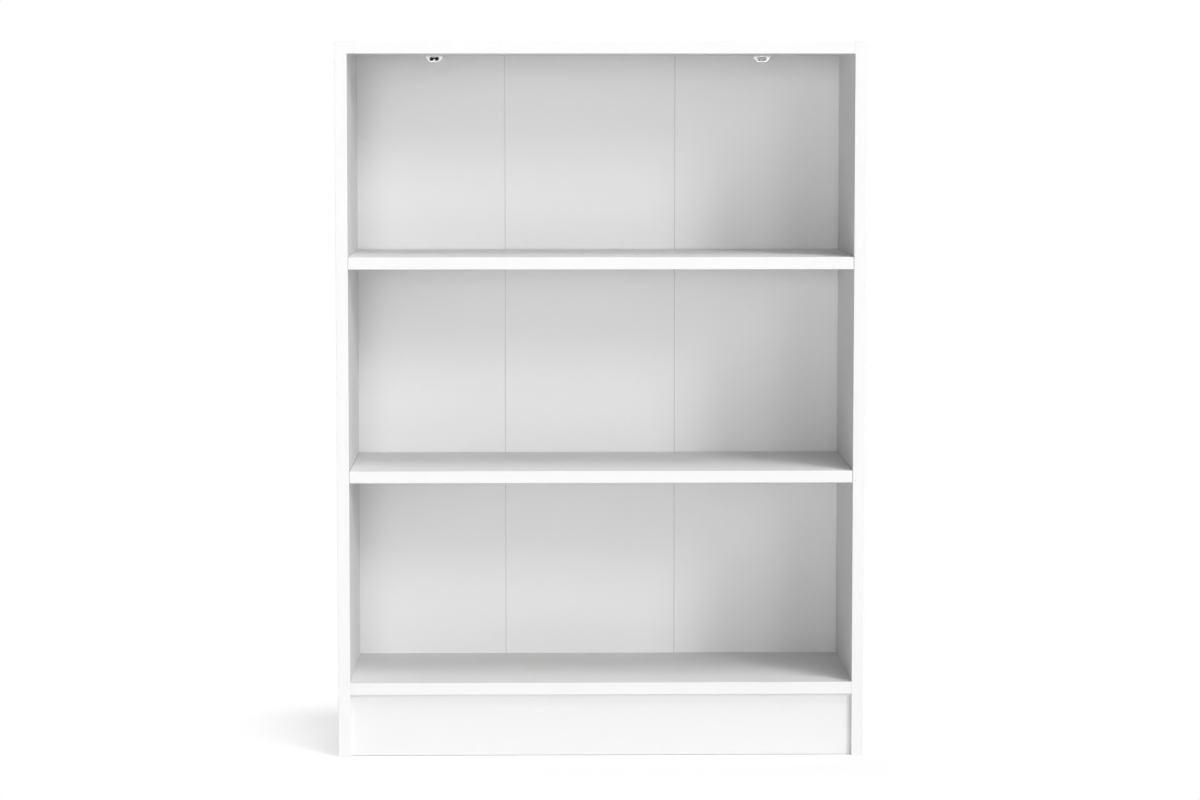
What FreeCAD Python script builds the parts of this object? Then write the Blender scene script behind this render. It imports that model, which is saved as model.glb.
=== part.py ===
"""A low open bookcase in white-faced particle board, as it comes flat-packed.

Two sides stand on the floor and hold the top, the bottom and a recessed plinth with cam locks and dowels.
Two loose shelves lie on pins, a folding back of three leaves sits in grooves, and two brackets under the
top tie the case to a wall.

Millimetres. X runs across the width, Y from the front to the rear and Z up. The origin is on the floor,
under the middle of the case.
"""

import FreeCAD, Part
import os

from FreeCAD import Vector

# Driving dimensions
WIDTH = 790.0
DEPTH = 280.0
BOARD = 18.0
PLINTH_HEIGHT = 94.0
BAY_HEIGHT = 302.0
BAYS = 3

# Edge bands, which cover the front edges and the upper ends of the sides
EDGING = 1.0
EDGING_ROUND = 0.8

# Plinth
PLINTH_RECESS = 8.0
PLINTH_LIFT = 1.0

# Loose shelves
SHELF_END_GAP = 0.5
SHELF_FRONT_SETBACK = 0.5
SHELF_REAR_GAP = 1.0

# Folding back and its grooves
LEAF_THICKNESS = 3.0
LEAF_WIDTH = 265.7
FOLD_GAP = 0.2
FOLD_CHAMFER = 0.2
BACK_INSET = 9.0
GROOVE_DEPTH = 9.0
GROOVE_WIDTH = 3.6
GROOVE_END_GAP = 0.5
GROOVE_FRONT_GAP = 0.2
TAPE_WIDTH = 40.0
TAPE_THICKNESS = 0.3

# Cam locks: an eccentric nut in a bore of one board draws in the cone head of a bolt in the other
CAM_SETBACK = 34.0
CAM_RADIUS = 7.4
CAM_HEIGHT = 13.0
CAM_SUNK = 0.2
CAM_BORE_RADIUS = 7.5
CAM_BORE_DEPTH = 13.6
CAM_POCKET_RADIUS = 5.0
CAM_POCKET_OFFSET = 1.0
CAM_CROWN = 4.8
CAM_SLOT_HEIGHT = 5.0
CAM_SLOT_START = -40.0
CAM_SLOT_SWEEP = 220.0
CAM_WINDOW = 7.6
RECESS_LENGTH = 6.4
RECESS_WIDTH = 1.3
RECESS_DEPTH = 2.4
BOLT_THREAD_RADIUS = 2.45
BOLT_THREAD_LENGTH = 11.0
BOLT_SHANK_RADIUS = 3.5
BOLT_SHANK_LENGTH = 22.0
BOLT_NECK_RADIUS = 2.2
BOLT_HEAD_RADIUS = 3.2
BOLT_CONE_LENGTH = 1.3
BOLT_HEAD_LENGTH = 1.2
BOLT_CLEARANCE = 0.1
BOLT_HOLE_RADIUS = 2.5
BOLT_HOLE_DEPTH = 12.0
END_HOLE_RADIUS = 4.0

# Wooden dowels
DOWEL_RADIUS = 3.95
DOWEL_IN_SIDE = 11.0
DOWEL_IN_BOARD = 23.0
DOWEL_CHAMFER = 1.2
DOWEL_END_ROOM = 1.0

# Places of the fittings, all on a 32 mm drilling pitch
PITCH = 32.0
FRONT_CAM_SETBACK = 50.0
REAR_CAM_SETBACK = 62.0
PLINTH_CAM_HEIGHT = 62.0

# Shelf pins: a round peg in the side, flattened to a blade under the shelf
PIN_HOLE_RADIUS = 2.5
PIN_HOLE_DEPTH = 10.0
PIN_PEG_RADIUS = 2.45
PIN_PEG_LENGTH = 8.5
PIN_PEG_CHAMFER = 0.5
PIN_BLADE_LENGTH = 10.0
PIN_BLADE_WIDTH = 8.0
PIN_BLADE_THICKNESS = 1.6
PIN_BLADE_ROUND = 3.0
PIN_FRONT_SETBACK = 37.0
PIN_REAR_SETBACK = 37.0
PIN_PLAY = 0.05

# Wall brackets of bent sheet steel, their pads and wafer-head screws
BRACKET_SPACING = 16 * PITCH
BRACKET_WIDTH = 30.0
BRACKET_FOOT_WIDTH = 16.0
BRACKET_LEG = 20.0
BRACKET_DROP = 9.8
BRACKET_THICKNESS = 1.2
BRACKET_BEND_ROUND = 0.4
BRACKET_CORNER_ROUND = 3.0
BRACKET_FOOT_ROUND = 2.0
WALL_HOLE_RADIUS = 3.0
WALL_HOLE_PITCH = 8.2
WALL_HOLE_DROP = 4.7
PAD_THICKNESS = 0.8
PAD_WIDTH = 18.0
PAD_HEIGHT = 8.0
SCREW_RADIUS = 1.6
SCREW_LENGTH = 14.0
SCREW_HEAD_RADIUS = 4.4
SCREW_HEAD_HEIGHT = 1.9
SCREW_HEAD_ROUND = 1.5
SCREW_SETBACK = 12.0
SCREW_CLEARANCE = 0.1
SCREW_RECESS_LENGTH = 3.6
SCREW_RECESS_WIDTH = 0.9
SCREW_RECESS_DEPTH = 1.2

# Cutters start this far outside the face that they enter
OVERCUT = 1.0

# Lengths nearer than this are equal
ROUNDING = 1e-6

# Planes and places that follow from the sizes above
HEIGHT = PLINTH_HEIGHT + BOARD + BAYS * (BAY_HEIGHT + BOARD)
HALF_WIDTH = WIDTH / 2
INNER = HALF_WIDTH - BOARD
FRONT = -DEPTH / 2
REAR = DEPTH / 2
CORE_FRONT = FRONT + EDGING
TOP_UNDER = HEIGHT - BOARD
TOP_MIDDLE = HEIGHT - BOARD / 2
BOTTOM_TOP = PLINTH_HEIGHT + BOARD
BOTTOM_MIDDLE = PLINTH_HEIGHT + BOARD / 2
SHELF_UNDERSIDES = [PLINTH_HEIGHT + n * (BAY_HEIGHT + BOARD) for n in range(1, BAYS)]
PLINTH_FRONT = FRONT + PLINTH_RECESS
PLINTH_REAR = PLINTH_FRONT + BOARD
PLINTH_MIDDLE = PLINTH_FRONT + BOARD / 2
PLINTH_DOWEL_HEIGHT = PLINTH_CAM_HEIGHT - PITCH
CAM_PLACES = (FRONT + FRONT_CAM_SETBACK, REAR - REAR_CAM_SETBACK)
DOWEL_PLACES = (CAM_PLACES[0] + PITCH, CAM_PLACES[1] - PITCH)
BACK_REAR = REAR - BACK_INSET
BACK_FRONT = BACK_REAR - LEAF_THICKNESS
BACK_HALF_WIDTH = INNER + GROOVE_DEPTH - GROOVE_END_GAP
BACK_LOW = BOTTOM_TOP - GROOVE_DEPTH + GROOVE_END_GAP
BACK_HIGH = TOP_UNDER + GROOVE_DEPTH - GROOVE_END_GAP
GROOVE_FRONT = BACK_FRONT - GROOVE_FRONT_GAP
GROOVE_REAR = GROOVE_FRONT + GROOVE_WIDTH
PIN_PLACES = (FRONT + PIN_FRONT_SETBACK, BACK_FRONT - PIN_REAR_SETBACK)
PIN_DROP = PIN_PLAY + PIN_BLADE_THICKNESS / 2
BRACKET_REAR = BACK_FRONT - PAD_THICKNESS
WALL_HOLE_HEIGHT = TOP_UNDER - WALL_HOLE_DROP
SCREW_PLACE = BRACKET_REAR - SCREW_SETBACK
SCREW_SEAT = TOP_UNDER - BRACKET_THICKNESS

LEFT = -1
RIGHT = 1
HANDS = (LEFT, RIGHT)
X = Vector(1, 0, 0)
Y = Vector(0, 1, 0)
Z = Vector(0, 0, 1)


def same(a, b):
    """True where two lengths are equal, apart from rounding."""
    return abs(a - b) < ROUNDING


def slab(x_range, y_range, z_range):
    """A square-edged block between two values on each axis, given in either order."""
    low = Vector(min(x_range), min(y_range), min(z_range))
    high = Vector(max(x_range), max(y_range), max(z_range))
    size = high - low
    return Part.makeBox(size.x, size.y, size.z, low)


def bore(mouth, inward, radius, depth):
    """A cutter for a blind hole whose mouth is at a face and which runs inward from there."""
    return Part.makeCylinder(radius, depth + OVERCUT, mouth - inward * OVERCUT, inward)


def cut(shape, cutters):
    """The one solid that is left of a shape after all the cutters."""
    return shape.cut(cutters).removeSplitter().Solids[0]


def turned(profile):
    """A solid of revolution about X from (place along X, radius) points, closed on the axis."""
    points = [Vector(profile[0][0], 0, 0)]
    points += [Vector(place, radius, 0) for place, radius in profile]
    points += [Vector(profile[-1][0], 0, 0), points[0]]
    return Part.Face(Part.makePolygon(points)).revolve(Vector(0, 0, 0), X, 360)


def placed(shape, origin, x_axis, z_axis):
    """A copy of a shape that was drawn at the origin, with its X and Z turned to the given axes."""
    rotation = FreeCAD.Rotation(x_axis, z_axis.cross(x_axis), z_axis, "ZXY")
    copy = shape.copy()
    copy.Placement = FreeCAD.Placement(origin, rotation)
    return copy


def edges_on(shape, along, level):
    """The straight edges of a shape that run along one axis and lie at a value of another axis."""
    axis, value = level
    found = []
    for edge in shape.Edges:
        direction = (edge.Vertexes[-1].Point - edge.Vertexes[0].Point).normalize()
        parallel = same(abs(direction.dot(along)), 1)
        if parallel and same(edge.CenterOfMass.dot(axis), value):
            found.append(edge)
    return found


def cross_recess(length, width, depth):
    """A cutter for a screwdriver's cross, sunk from the plane Z = 0."""
    half = length / 2
    arm = slab((-half, half), (-width / 2, width / 2), (-depth, OVERCUT))
    other = arm.copy()
    other.rotate(Vector(0, 0, 0), Z, 90)
    return arm.fuse(other)


def joints_of_side():
    """Places of the bolts and the dowels in the inner face of a side, as (y, z) pairs."""
    bolts = [(y, z) for y in CAM_PLACES for z in (TOP_MIDDLE, BOTTOM_MIDDLE)]
    dowels = [(y, z) for y in DOWEL_PLACES for z in (TOP_MIDDLE, BOTTOM_MIDDLE)]
    bolts.append((PLINTH_MIDDLE, PLINTH_CAM_HEIGHT))
    dowels.append((PLINTH_MIDDLE, PLINTH_DOWEL_HEIGHT))
    return bolts, dowels


def side_panel(hand):
    """A side: a full-height board, drilled and grooved on its inner face."""
    board = slab((hand * INNER, hand * HALF_WIDTH), (CORE_FRONT, REAR), (0, HEIGHT - EDGING))
    bolts, dowels = joints_of_side()
    outward = X * hand
    face = hand * INNER
    cutters = [bore(Vector(face, y, z), outward, BOLT_HOLE_RADIUS, BOLT_HOLE_DEPTH) for y, z in bolts]
    dowel_depth = DOWEL_IN_SIDE + DOWEL_END_ROOM
    cutters += [bore(Vector(face, y, z), outward, END_HOLE_RADIUS, dowel_depth) for y, z in dowels]
    for underside in SHELF_UNDERSIDES:
        for y in PIN_PLACES:
            mouth = Vector(face, y, underside - PIN_DROP)
            cutters.append(bore(mouth, outward, PIN_HOLE_RADIUS, PIN_HOLE_DEPTH))
    groove_x = (hand * (INNER - OVERCUT), hand * (INNER + GROOVE_DEPTH))
    groove_z = (BACK_LOW - GROOVE_END_GAP, BACK_HIGH + GROOVE_END_GAP)
    cutters.append(slab(groove_x, (GROOVE_FRONT, GROOVE_REAR), groove_z))
    return cut(board, cutters)


def end_holes(bolt_places, dowel_places):
    """Cutters for the bolts and dowels that enter both ends of a board, at (y, z) places."""
    cutters = []
    for hand in HANDS:
        inward = X * -hand
        face = hand * INNER
        cutters += [bore(Vector(face, y, z), inward, END_HOLE_RADIUS, CAM_SETBACK) for y, z in bolt_places]
        depth = DOWEL_IN_BOARD + DOWEL_END_ROOM
        cutters += [bore(Vector(face, y, z), inward, END_HOLE_RADIUS, depth) for y, z in dowel_places]
    return cutters


def cam_bores(places, inward):
    """Cutters for the cam nuts at both ends of a board, at (y, z) places on one of its faces."""
    mouths = [Vector(hand * (INNER - CAM_SETBACK), y, z) for hand in HANDS for y, z in places]
    return [bore(mouth, inward, CAM_BORE_RADIUS, CAM_BORE_DEPTH) for mouth in mouths]


def top_panel():
    """The top: it lies between the sides, with the cam bores and the back's groove in its underside."""
    board = slab((-INNER, INNER), (CORE_FRONT, REAR), (TOP_UNDER, HEIGHT))
    cutters = end_holes([(y, TOP_MIDDLE) for y in CAM_PLACES], [(y, TOP_MIDDLE) for y in DOWEL_PLACES])
    cutters += cam_bores([(y, TOP_UNDER) for y in CAM_PLACES], Z)
    across = (-INNER - OVERCUT, INNER + OVERCUT)
    groove_z = (TOP_UNDER - OVERCUT, TOP_UNDER + GROOVE_DEPTH)
    cutters.append(slab(across, (GROOVE_FRONT, GROOVE_REAR), groove_z))
    pilot_depth = SCREW_LENGTH - BRACKET_THICKNESS
    for hand in HANDS:
        mouth = Vector(hand * BRACKET_SPACING / 2, SCREW_PLACE, TOP_UNDER)
        cutters.append(bore(mouth, Z, SCREW_RADIUS + SCREW_CLEARANCE, pilot_depth))
    return cut(board, cutters)


def bottom_panel():
    """The bottom: it lies between the sides on the plinth, with the cam bores in its underside."""
    board = slab((-INNER, INNER), (CORE_FRONT, REAR), (PLINTH_HEIGHT, BOTTOM_TOP))
    bolt_places = [(y, BOTTOM_MIDDLE) for y in CAM_PLACES]
    cutters = end_holes(bolt_places, [(y, BOTTOM_MIDDLE) for y in DOWEL_PLACES])
    cutters += cam_bores([(y, PLINTH_HEIGHT) for y in CAM_PLACES], Z)
    across = (-INNER - OVERCUT, INNER + OVERCUT)
    groove_z = (BOTTOM_TOP - GROOVE_DEPTH, BOTTOM_TOP + OVERCUT)
    cutters.append(slab(across, (GROOVE_FRONT, GROOVE_REAR), groove_z))
    return cut(board, cutters)


def plinth():
    """The plinth: a board on edge under the bottom, set back from the front, with cam bores behind."""
    board = slab((-INNER, INNER), (PLINTH_FRONT, PLINTH_REAR), (PLINTH_LIFT, PLINTH_HEIGHT))
    bolt_places = [(PLINTH_MIDDLE, PLINTH_CAM_HEIGHT)]
    cutters = end_holes(bolt_places, [(PLINTH_MIDDLE, PLINTH_DOWEL_HEIGHT)])
    cutters += cam_bores([(PLINTH_REAR, PLINTH_CAM_HEIGHT)], -Y)
    return cut(board, cutters)


def loose_shelf(underside):
    """A shelf board, a little shorter than the space between the sides so that it draws out."""
    length = INNER - SHELF_END_GAP
    depth = (CORE_FRONT + SHELF_FRONT_SETBACK, BACK_FRONT - SHELF_REAR_GAP)
    return slab((-length, length), depth, (underside, underside + BOARD))


def front_edging(x_range, z_range, setback=0.0):
    """A band on a front edge, with its two long front edges rounded over."""
    front = FRONT + setback
    band = slab(x_range, (front, front + EDGING), z_range)
    upright = abs(z_range[1] - z_range[0]) > abs(x_range[1] - x_range[0])
    along = Z if upright else X
    return band.makeFillet(EDGING_ROUND, edges_on(band, along, (Y, front)))


def upper_end_edging(hand):
    """A band on the upper end of a side, behind the front band, with its long upper edges rounded."""
    x_range = (hand * INNER, hand * HALF_WIDTH)
    band = slab(x_range, (CORE_FRONT, REAR), (HEIGHT - EDGING, HEIGHT))
    return band.makeFillet(EDGING_ROUND, edges_on(band, Y, (Z, HEIGHT)))


def fold_places():
    """Places along X of the two folds of the back. The left leaf is the narrow one that folds inside."""
    right_fold = BACK_HALF_WIDTH - LEAF_WIDTH - FOLD_GAP / 2
    left_fold = right_fold - LEAF_WIDTH - FOLD_GAP
    return left_fold, right_fold


def wall_holes(face, depth):
    """Cutters for the two wall holes behind a bracket, drawn about X = 0 and sunk from a plane towards +Y."""
    reach = WALL_HOLE_PITCH / 2
    return [bore(Vector(hand * reach, face, WALL_HOLE_HEIGHT), Y, WALL_HOLE_RADIUS, depth) for hand in HANDS]


def back_leaf(x_range, folded_edges, drilled):
    """A leaf of the back. Its front corners are broken at each fold, and an outer leaf has wall holes."""
    leaf = slab(x_range, (BACK_FRONT, BACK_REAR), (BACK_LOW, BACK_HIGH))
    upright = edges_on(leaf, Z, (Y, BACK_FRONT))
    corners = [edge for edge in upright if any(same(edge.CenterOfMass.x, x) for x in folded_edges)]
    leaf = leaf.makeChamfer(FOLD_CHAMFER, corners)
    if drilled:
        hand = LEFT if sum(x_range) < 0 else RIGHT
        holes = wall_holes(BACK_FRONT, LEAF_THICKNESS + OVERCUT)
        leaf = cut(leaf, [at_bracket(hole, hand) for hole in holes])
    return leaf


def back_leaves():
    """The three leaves of the back, by name."""
    left_fold, right_fold = fold_places()
    gap = FOLD_GAP / 2
    left_edge, right_edge = left_fold - gap, right_fold + gap
    centre = (left_fold + gap, right_fold - gap)
    return {
        "back_leaf_left": back_leaf((-BACK_HALF_WIDTH, left_edge), (left_edge,), True),
        "back_leaf_centre": back_leaf(centre, centre, False),
        "back_leaf_right": back_leaf((right_edge, BACK_HALF_WIDTH), (right_edge,), True),
    }


def hinge_tape(fold):
    """The tape across a fold, on the rear of the back."""
    x_range = (fold - TAPE_WIDTH / 2, fold + TAPE_WIDTH / 2)
    return slab(x_range, (BACK_REAR, BACK_REAR + TAPE_THICKNESS), (BACK_LOW, BACK_HIGH))


def cam_nut():
    """An eccentric cam nut, drawn with its face at Z = 0 and its bolt coming from +X.

    The pocket is off the nut's axis, so its wall nears the axis as the nut turns and draws the bolt in.
    """
    floor = -CAM_SUNK - CAM_HEIGHT
    body = Part.makeCylinder(CAM_RADIUS, CAM_HEIGHT, Z * floor)
    pocket_height = CAM_HEIGHT - CAM_CROWN
    pocket_centre = Vector(-CAM_POCKET_OFFSET, 0, floor - OVERCUT)
    pocket = Part.makeCylinder(CAM_POCKET_RADIUS, pocket_height + OVERCUT, pocket_centre)
    slot_floor = -BOARD / 2 - CAM_SLOT_HEIGHT / 2
    reach = CAM_RADIUS + OVERCUT
    slot = Part.makeCylinder(reach, CAM_SLOT_HEIGHT, Z * slot_floor, Z, CAM_SLOT_SWEEP)
    slot.rotate(Vector(0, 0, 0), Z, CAM_SLOT_START)
    half = CAM_WINDOW / 2
    window = slab((-reach, 0), (-half, half), (-BOARD / 2 - half, -BOARD / 2 + half))
    recess = cross_recess(RECESS_LENGTH, RECESS_WIDTH, RECESS_DEPTH)
    return cut(body, [pocket, slot, window, recess])


def cam_bolt():
    """A cam bolt, drawn along X with the face of the side at X = 0 and its head in the nut."""
    shoulder = CAM_SETBACK - (CAM_POCKET_RADIUS - CAM_POCKET_OFFSET) + BOLT_CLEARANCE
    cone_end = shoulder + BOLT_CONE_LENGTH
    head_end = cone_end + BOLT_HEAD_LENGTH
    profile = [
        (-BOLT_THREAD_LENGTH, BOLT_THREAD_RADIUS / 2),
        (-BOLT_THREAD_LENGTH + BOLT_THREAD_RADIUS / 2, BOLT_THREAD_RADIUS),
        (0, BOLT_THREAD_RADIUS),
        (0, BOLT_SHANK_RADIUS),
        (BOLT_SHANK_LENGTH, BOLT_SHANK_RADIUS),
        (BOLT_SHANK_LENGTH, BOLT_NECK_RADIUS),
        (shoulder, BOLT_NECK_RADIUS),
        (cone_end, BOLT_HEAD_RADIUS),
        (head_end, BOLT_HEAD_RADIUS),
    ]
    return turned(profile)


def dowel():
    """A dowel along X, with the face of the side at X = 0 and both ends chamfered."""
    profile = [
        (-DOWEL_IN_SIDE, DOWEL_RADIUS - DOWEL_CHAMFER),
        (-DOWEL_IN_SIDE + DOWEL_CHAMFER, DOWEL_RADIUS),
        (DOWEL_IN_BOARD - DOWEL_CHAMFER, DOWEL_RADIUS),
        (DOWEL_IN_BOARD, DOWEL_RADIUS - DOWEL_CHAMFER),
    ]
    return turned(profile)


def at_both_ends(shape, places, z_axis):
    """Copies of a fitting at both sides' inner faces, pointing into the case, at (y, z) places."""
    return [
        placed(shape, Vector(hand * INNER, y, z), X * -hand, z_axis) for hand in HANDS for y, z in places
    ]


def cam_nuts(places, outward):
    """Cam nuts at both ends of a board, at (y, z) places on the face that looks outward."""
    nut = cam_nut()
    return [
        placed(nut, Vector(hand * (INNER - CAM_SETBACK), y, z), X * hand, outward)
        for hand in HANDS
        for y, z in places
    ]


def shelf_pin():
    """A shelf pin along X, with the face of the side at X = 0: a round peg flattened to a blade."""
    profile = [
        (-PIN_PEG_LENGTH, PIN_PEG_RADIUS - PIN_PEG_CHAMFER),
        (-PIN_PEG_LENGTH + PIN_PEG_CHAMFER, PIN_PEG_RADIUS),
        (0, PIN_PEG_RADIUS),
    ]
    half_width, half_thickness = PIN_BLADE_WIDTH / 2, PIN_BLADE_THICKNESS / 2
    blade = slab((0, PIN_BLADE_LENGTH), (-half_width, half_width), (-half_thickness, half_thickness))
    blade = blade.makeFillet(PIN_BLADE_ROUND, edges_on(blade, Z, (X, PIN_BLADE_LENGTH)))
    return turned(profile).fuse(blade).removeSplitter().Solids[0]


def shelf_pins(underside):
    """The four pins under one shelf."""
    places = [(y, underside - PIN_DROP) for y in PIN_PLACES]
    return at_both_ends(shelf_pin(), places, Z)


def wall_bracket():
    """An angle bracket, drawn about X = 0 where it sits: one leg under the top, one down the back.

    The upright leg narrows downwards and has two holes, joined in their upper half, either of which takes a
    wall screw. The other leg has a hole for its own screw.
    """
    low = TOP_UNDER - BRACKET_DROP
    inner = BRACKET_REAR - BRACKET_THICKNESS
    front = BRACKET_REAR - BRACKET_LEG
    half = BRACKET_WIDTH / 2
    angle = slab((-half, half), (front, BRACKET_REAR), (low, TOP_UNDER))
    angle = cut(angle, [slab((-half, half), (front - OVERCUT, inner), (low - OVERCUT, SCREW_SEAT))])
    inside = [edge for edge in edges_on(angle, X, (Y, inner)) if same(edge.CenterOfMass.z, SCREW_SEAT)]
    angle = angle.makeFillet(BRACKET_BEND_ROUND, inside)
    outside = [edge for edge in edges_on(angle, X, (Y, BRACKET_REAR)) if same(edge.CenterOfMass.z, TOP_UNDER)]
    angle = angle.makeFillet(BRACKET_BEND_ROUND + BRACKET_THICKNESS, outside)
    angle = angle.makeFillet(BRACKET_CORNER_ROUND, edges_on(angle, Z, (Y, front)))
    foot = BRACKET_FOOT_WIDTH / 2
    tapers = []
    for hand in HANDS:
        corner = [
            Vector(hand * half, front, SCREW_SEAT),
            Vector(hand * half, front, low),
            Vector(hand * foot, front, low),
        ]
        tapers.append(Part.Face(Part.makePolygon(corner + corner[:1])).extrude(Y * BRACKET_LEG))
    angle = cut(angle, tapers)
    angle = angle.makeFillet(BRACKET_FOOT_ROUND, edges_on(angle, Y, (Z, low)))
    holes = wall_holes(inner, BRACKET_THICKNESS + OVERCUT)
    reach = WALL_HOLE_PITCH / 2
    upper_half = (WALL_HOLE_HEIGHT, WALL_HOLE_HEIGHT + WALL_HOLE_RADIUS)
    holes.append(slab((-reach, reach), (inner - OVERCUT, BRACKET_REAR + OVERCUT), upper_half))
    holes.append(bore(Vector(0, SCREW_PLACE, SCREW_SEAT), Z, SCREW_RADIUS + SCREW_CLEARANCE, BRACKET_LEG))
    return cut(angle, holes)


def bracket_screw():
    """A wafer-head screw with a cross recess, drawn about X = 0 where it sits under the bracket."""
    profile = [
        (0, SCREW_RADIUS),
        (SCREW_LENGTH - SCREW_RADIUS, SCREW_RADIUS),
        (SCREW_LENGTH, SCREW_RADIUS / 4),
    ]
    shank = placed(turned(profile), Vector(0, SCREW_PLACE, SCREW_SEAT), Z, X)
    face = SCREW_SEAT - SCREW_HEAD_HEIGHT
    head = Part.makeCylinder(SCREW_HEAD_RADIUS, SCREW_HEAD_HEIGHT, Vector(0, SCREW_PLACE, face))
    rim = [edge for edge in head.Edges if same(edge.CenterOfMass.z, face)]
    head = head.makeFillet(SCREW_HEAD_ROUND, rim)
    recess = cross_recess(SCREW_RECESS_LENGTH, SCREW_RECESS_WIDTH, SCREW_RECESS_DEPTH)
    screw = head.fuse(shank).removeSplitter().Solids[0]
    return cut(screw, [placed(recess, Vector(0, SCREW_PLACE, face), X, -Z)])


def bracket_pad():
    """A thin pad with round ends between the upright leg of a bracket and the back, with the wall holes."""
    radius = PAD_HEIGHT / 2
    low, high = Vector(0, 0, -radius), Vector(0, 0, radius)
    right, left = Vector(PAD_WIDTH / 2 - radius, 0, 0), Vector(radius - PAD_WIDTH / 2, 0, 0)
    outline = [
        Part.LineSegment(left + low, right + low),
        Part.Arc(right + low, Vector(PAD_WIDTH / 2, 0, 0), right + high),
        Part.LineSegment(right + high, left + high),
        Part.Arc(left + high, Vector(-PAD_WIDTH / 2, 0, 0), left + low),
    ]
    pad = Part.Face(Part.Wire([curve.toShape() for curve in outline])).extrude(Y * PAD_THICKNESS)
    pad.translate(Vector(0, BRACKET_REAR, WALL_HOLE_HEIGHT))
    return cut(pad, wall_holes(BRACKET_REAR, PAD_THICKNESS + OVERCUT))


def at_bracket(shape, hand):
    """A copy of a piece drawn about X = 0, moved to the left or right bracket."""
    copy = shape.copy()
    copy.translate(X * (hand * BRACKET_SPACING / 2))
    return copy


def boards():
    """The boards of the case, by name."""
    lower, upper = SHELF_UNDERSIDES
    return {
        "left_side": side_panel(LEFT),
        "right_side": side_panel(RIGHT),
        "top_panel": top_panel(),
        "bottom_panel": bottom_panel(),
        "plinth": plinth(),
        "lower_shelf": loose_shelf(lower),
        "upper_shelf": loose_shelf(upper),
    }


def edge_bands():
    """The edge bands, by name."""
    across = (-INNER, INNER)
    shelf_across = (-INNER + SHELF_END_GAP, INNER - SHELF_END_GAP)
    lower, upper = SHELF_UNDERSIDES
    return {
        "left_side_front_edging": front_edging((-HALF_WIDTH, -INNER), (0, HEIGHT)),
        "right_side_front_edging": front_edging((INNER, HALF_WIDTH), (0, HEIGHT)),
        "left_side_top_edging": upper_end_edging(LEFT),
        "right_side_top_edging": upper_end_edging(RIGHT),
        "top_panel_edging": front_edging(across, (TOP_UNDER, HEIGHT)),
        "bottom_panel_edging": front_edging(across, (PLINTH_HEIGHT, BOTTOM_TOP)),
        "lower_shelf_edging": front_edging(shelf_across, (lower, lower + BOARD), SHELF_FRONT_SETBACK),
        "upper_shelf_edging": front_edging(shelf_across, (upper, upper + BOARD), SHELF_FRONT_SETBACK),
    }


def folding_back():
    """The leaves of the back and the tapes that hinge them, by name."""
    left_fold, right_fold = fold_places()
    pieces = back_leaves()
    pieces["back_hinge_tape_left"] = hinge_tape(left_fold)
    pieces["back_hinge_tape_right"] = hinge_tape(right_fold)
    return pieces


def board_fittings():
    """The cam locks and dowels that join the top, the bottom and the plinth to the sides, by name."""
    cam_places = {
        "top": [(y, TOP_UNDER) for y in CAM_PLACES],
        "bottom": [(y, PLINTH_HEIGHT) for y in CAM_PLACES],
        "plinth": [(PLINTH_REAR, PLINTH_CAM_HEIGHT)],
    }
    bolt_places = {
        "top": [(y, TOP_MIDDLE) for y in CAM_PLACES],
        "bottom": [(y, BOTTOM_MIDDLE) for y in CAM_PLACES],
        "plinth": [(PLINTH_MIDDLE, PLINTH_CAM_HEIGHT)],
    }
    dowel_places = {
        "top": [(y, TOP_MIDDLE) for y in DOWEL_PLACES],
        "bottom": [(y, BOTTOM_MIDDLE) for y in DOWEL_PLACES],
        "plinth": [(PLINTH_MIDDLE, PLINTH_DOWEL_HEIGHT)],
    }
    outward = {"top": -Z, "bottom": -Z, "plinth": Y}
    pieces = {}
    for board, face in outward.items():
        pieces[board + "_cam_nuts"] = cam_nuts(cam_places[board], face)
        pieces[board + "_cam_bolts"] = at_both_ends(cam_bolt(), bolt_places[board], Z)
        pieces[board + "_dowels"] = at_both_ends(dowel(), dowel_places[board], Z)
    return pieces


def wall_fittings():
    """The wall brackets with their pads and screws, by name."""
    bracket, pad, screw = wall_bracket(), bracket_pad(), bracket_screw()
    return {
        "wall_bracket_left": at_bracket(bracket, LEFT),
        "wall_bracket_right": at_bracket(bracket, RIGHT),
        "bracket_pad_left": at_bracket(pad, LEFT),
        "bracket_pad_right": at_bracket(pad, RIGHT),
        "bracket_screws": [at_bracket(screw, hand) for hand in HANDS],
    }


def write(pieces):
    """Writes one STEP file for each named piece, or for each group of like pieces."""
    os.makedirs("parts", exist_ok=True)
    for name, piece in pieces.items():
        solids = piece if isinstance(piece, list) else [piece]
        shape = Part.makeCompound(solids) if len(solids) > 1 else solids[0]
        sound = all(solid.isValid() and solid.Volume > 0 for solid in solids)
        print(f"{name}: {len(solids)} solid(s), {shape.Volume / 1000:.1f} cm3, sound {sound}")
        shape.exportStep(f"parts/{name}.step")


def main():
    """Builds every piece and writes it."""
    lower, upper = SHELF_UNDERSIDES
    pieces = {}
    pieces.update(boards())
    pieces.update(edge_bands())
    pieces.update(folding_back())
    pieces.update(board_fittings())
    pieces.update(wall_fittings())
    pieces["lower_shelf_pins"] = shelf_pins(lower)
    pieces["upper_shelf_pins"] = shelf_pins(upper)
    write(pieces)


main()
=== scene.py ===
"""Dresses a low open bookcase in white-faced board and lights it like a plain studio photograph.

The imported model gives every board, band, leaf and fitting at its real size and place, in metres, with +X to
the right, +Y from the front to the rear and +Z up. This script gives each of them its finish, models the
small fittings in finer detail, and sets up the floor, the lamps and the camera.
"""

import logging
import math
from collections.abc import Callable, Iterator, Sequence
from contextlib import contextmanager
from dataclasses import dataclass
from enum import Enum
from typing import Any

import bpy
from mathutils import Matrix, Vector


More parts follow.
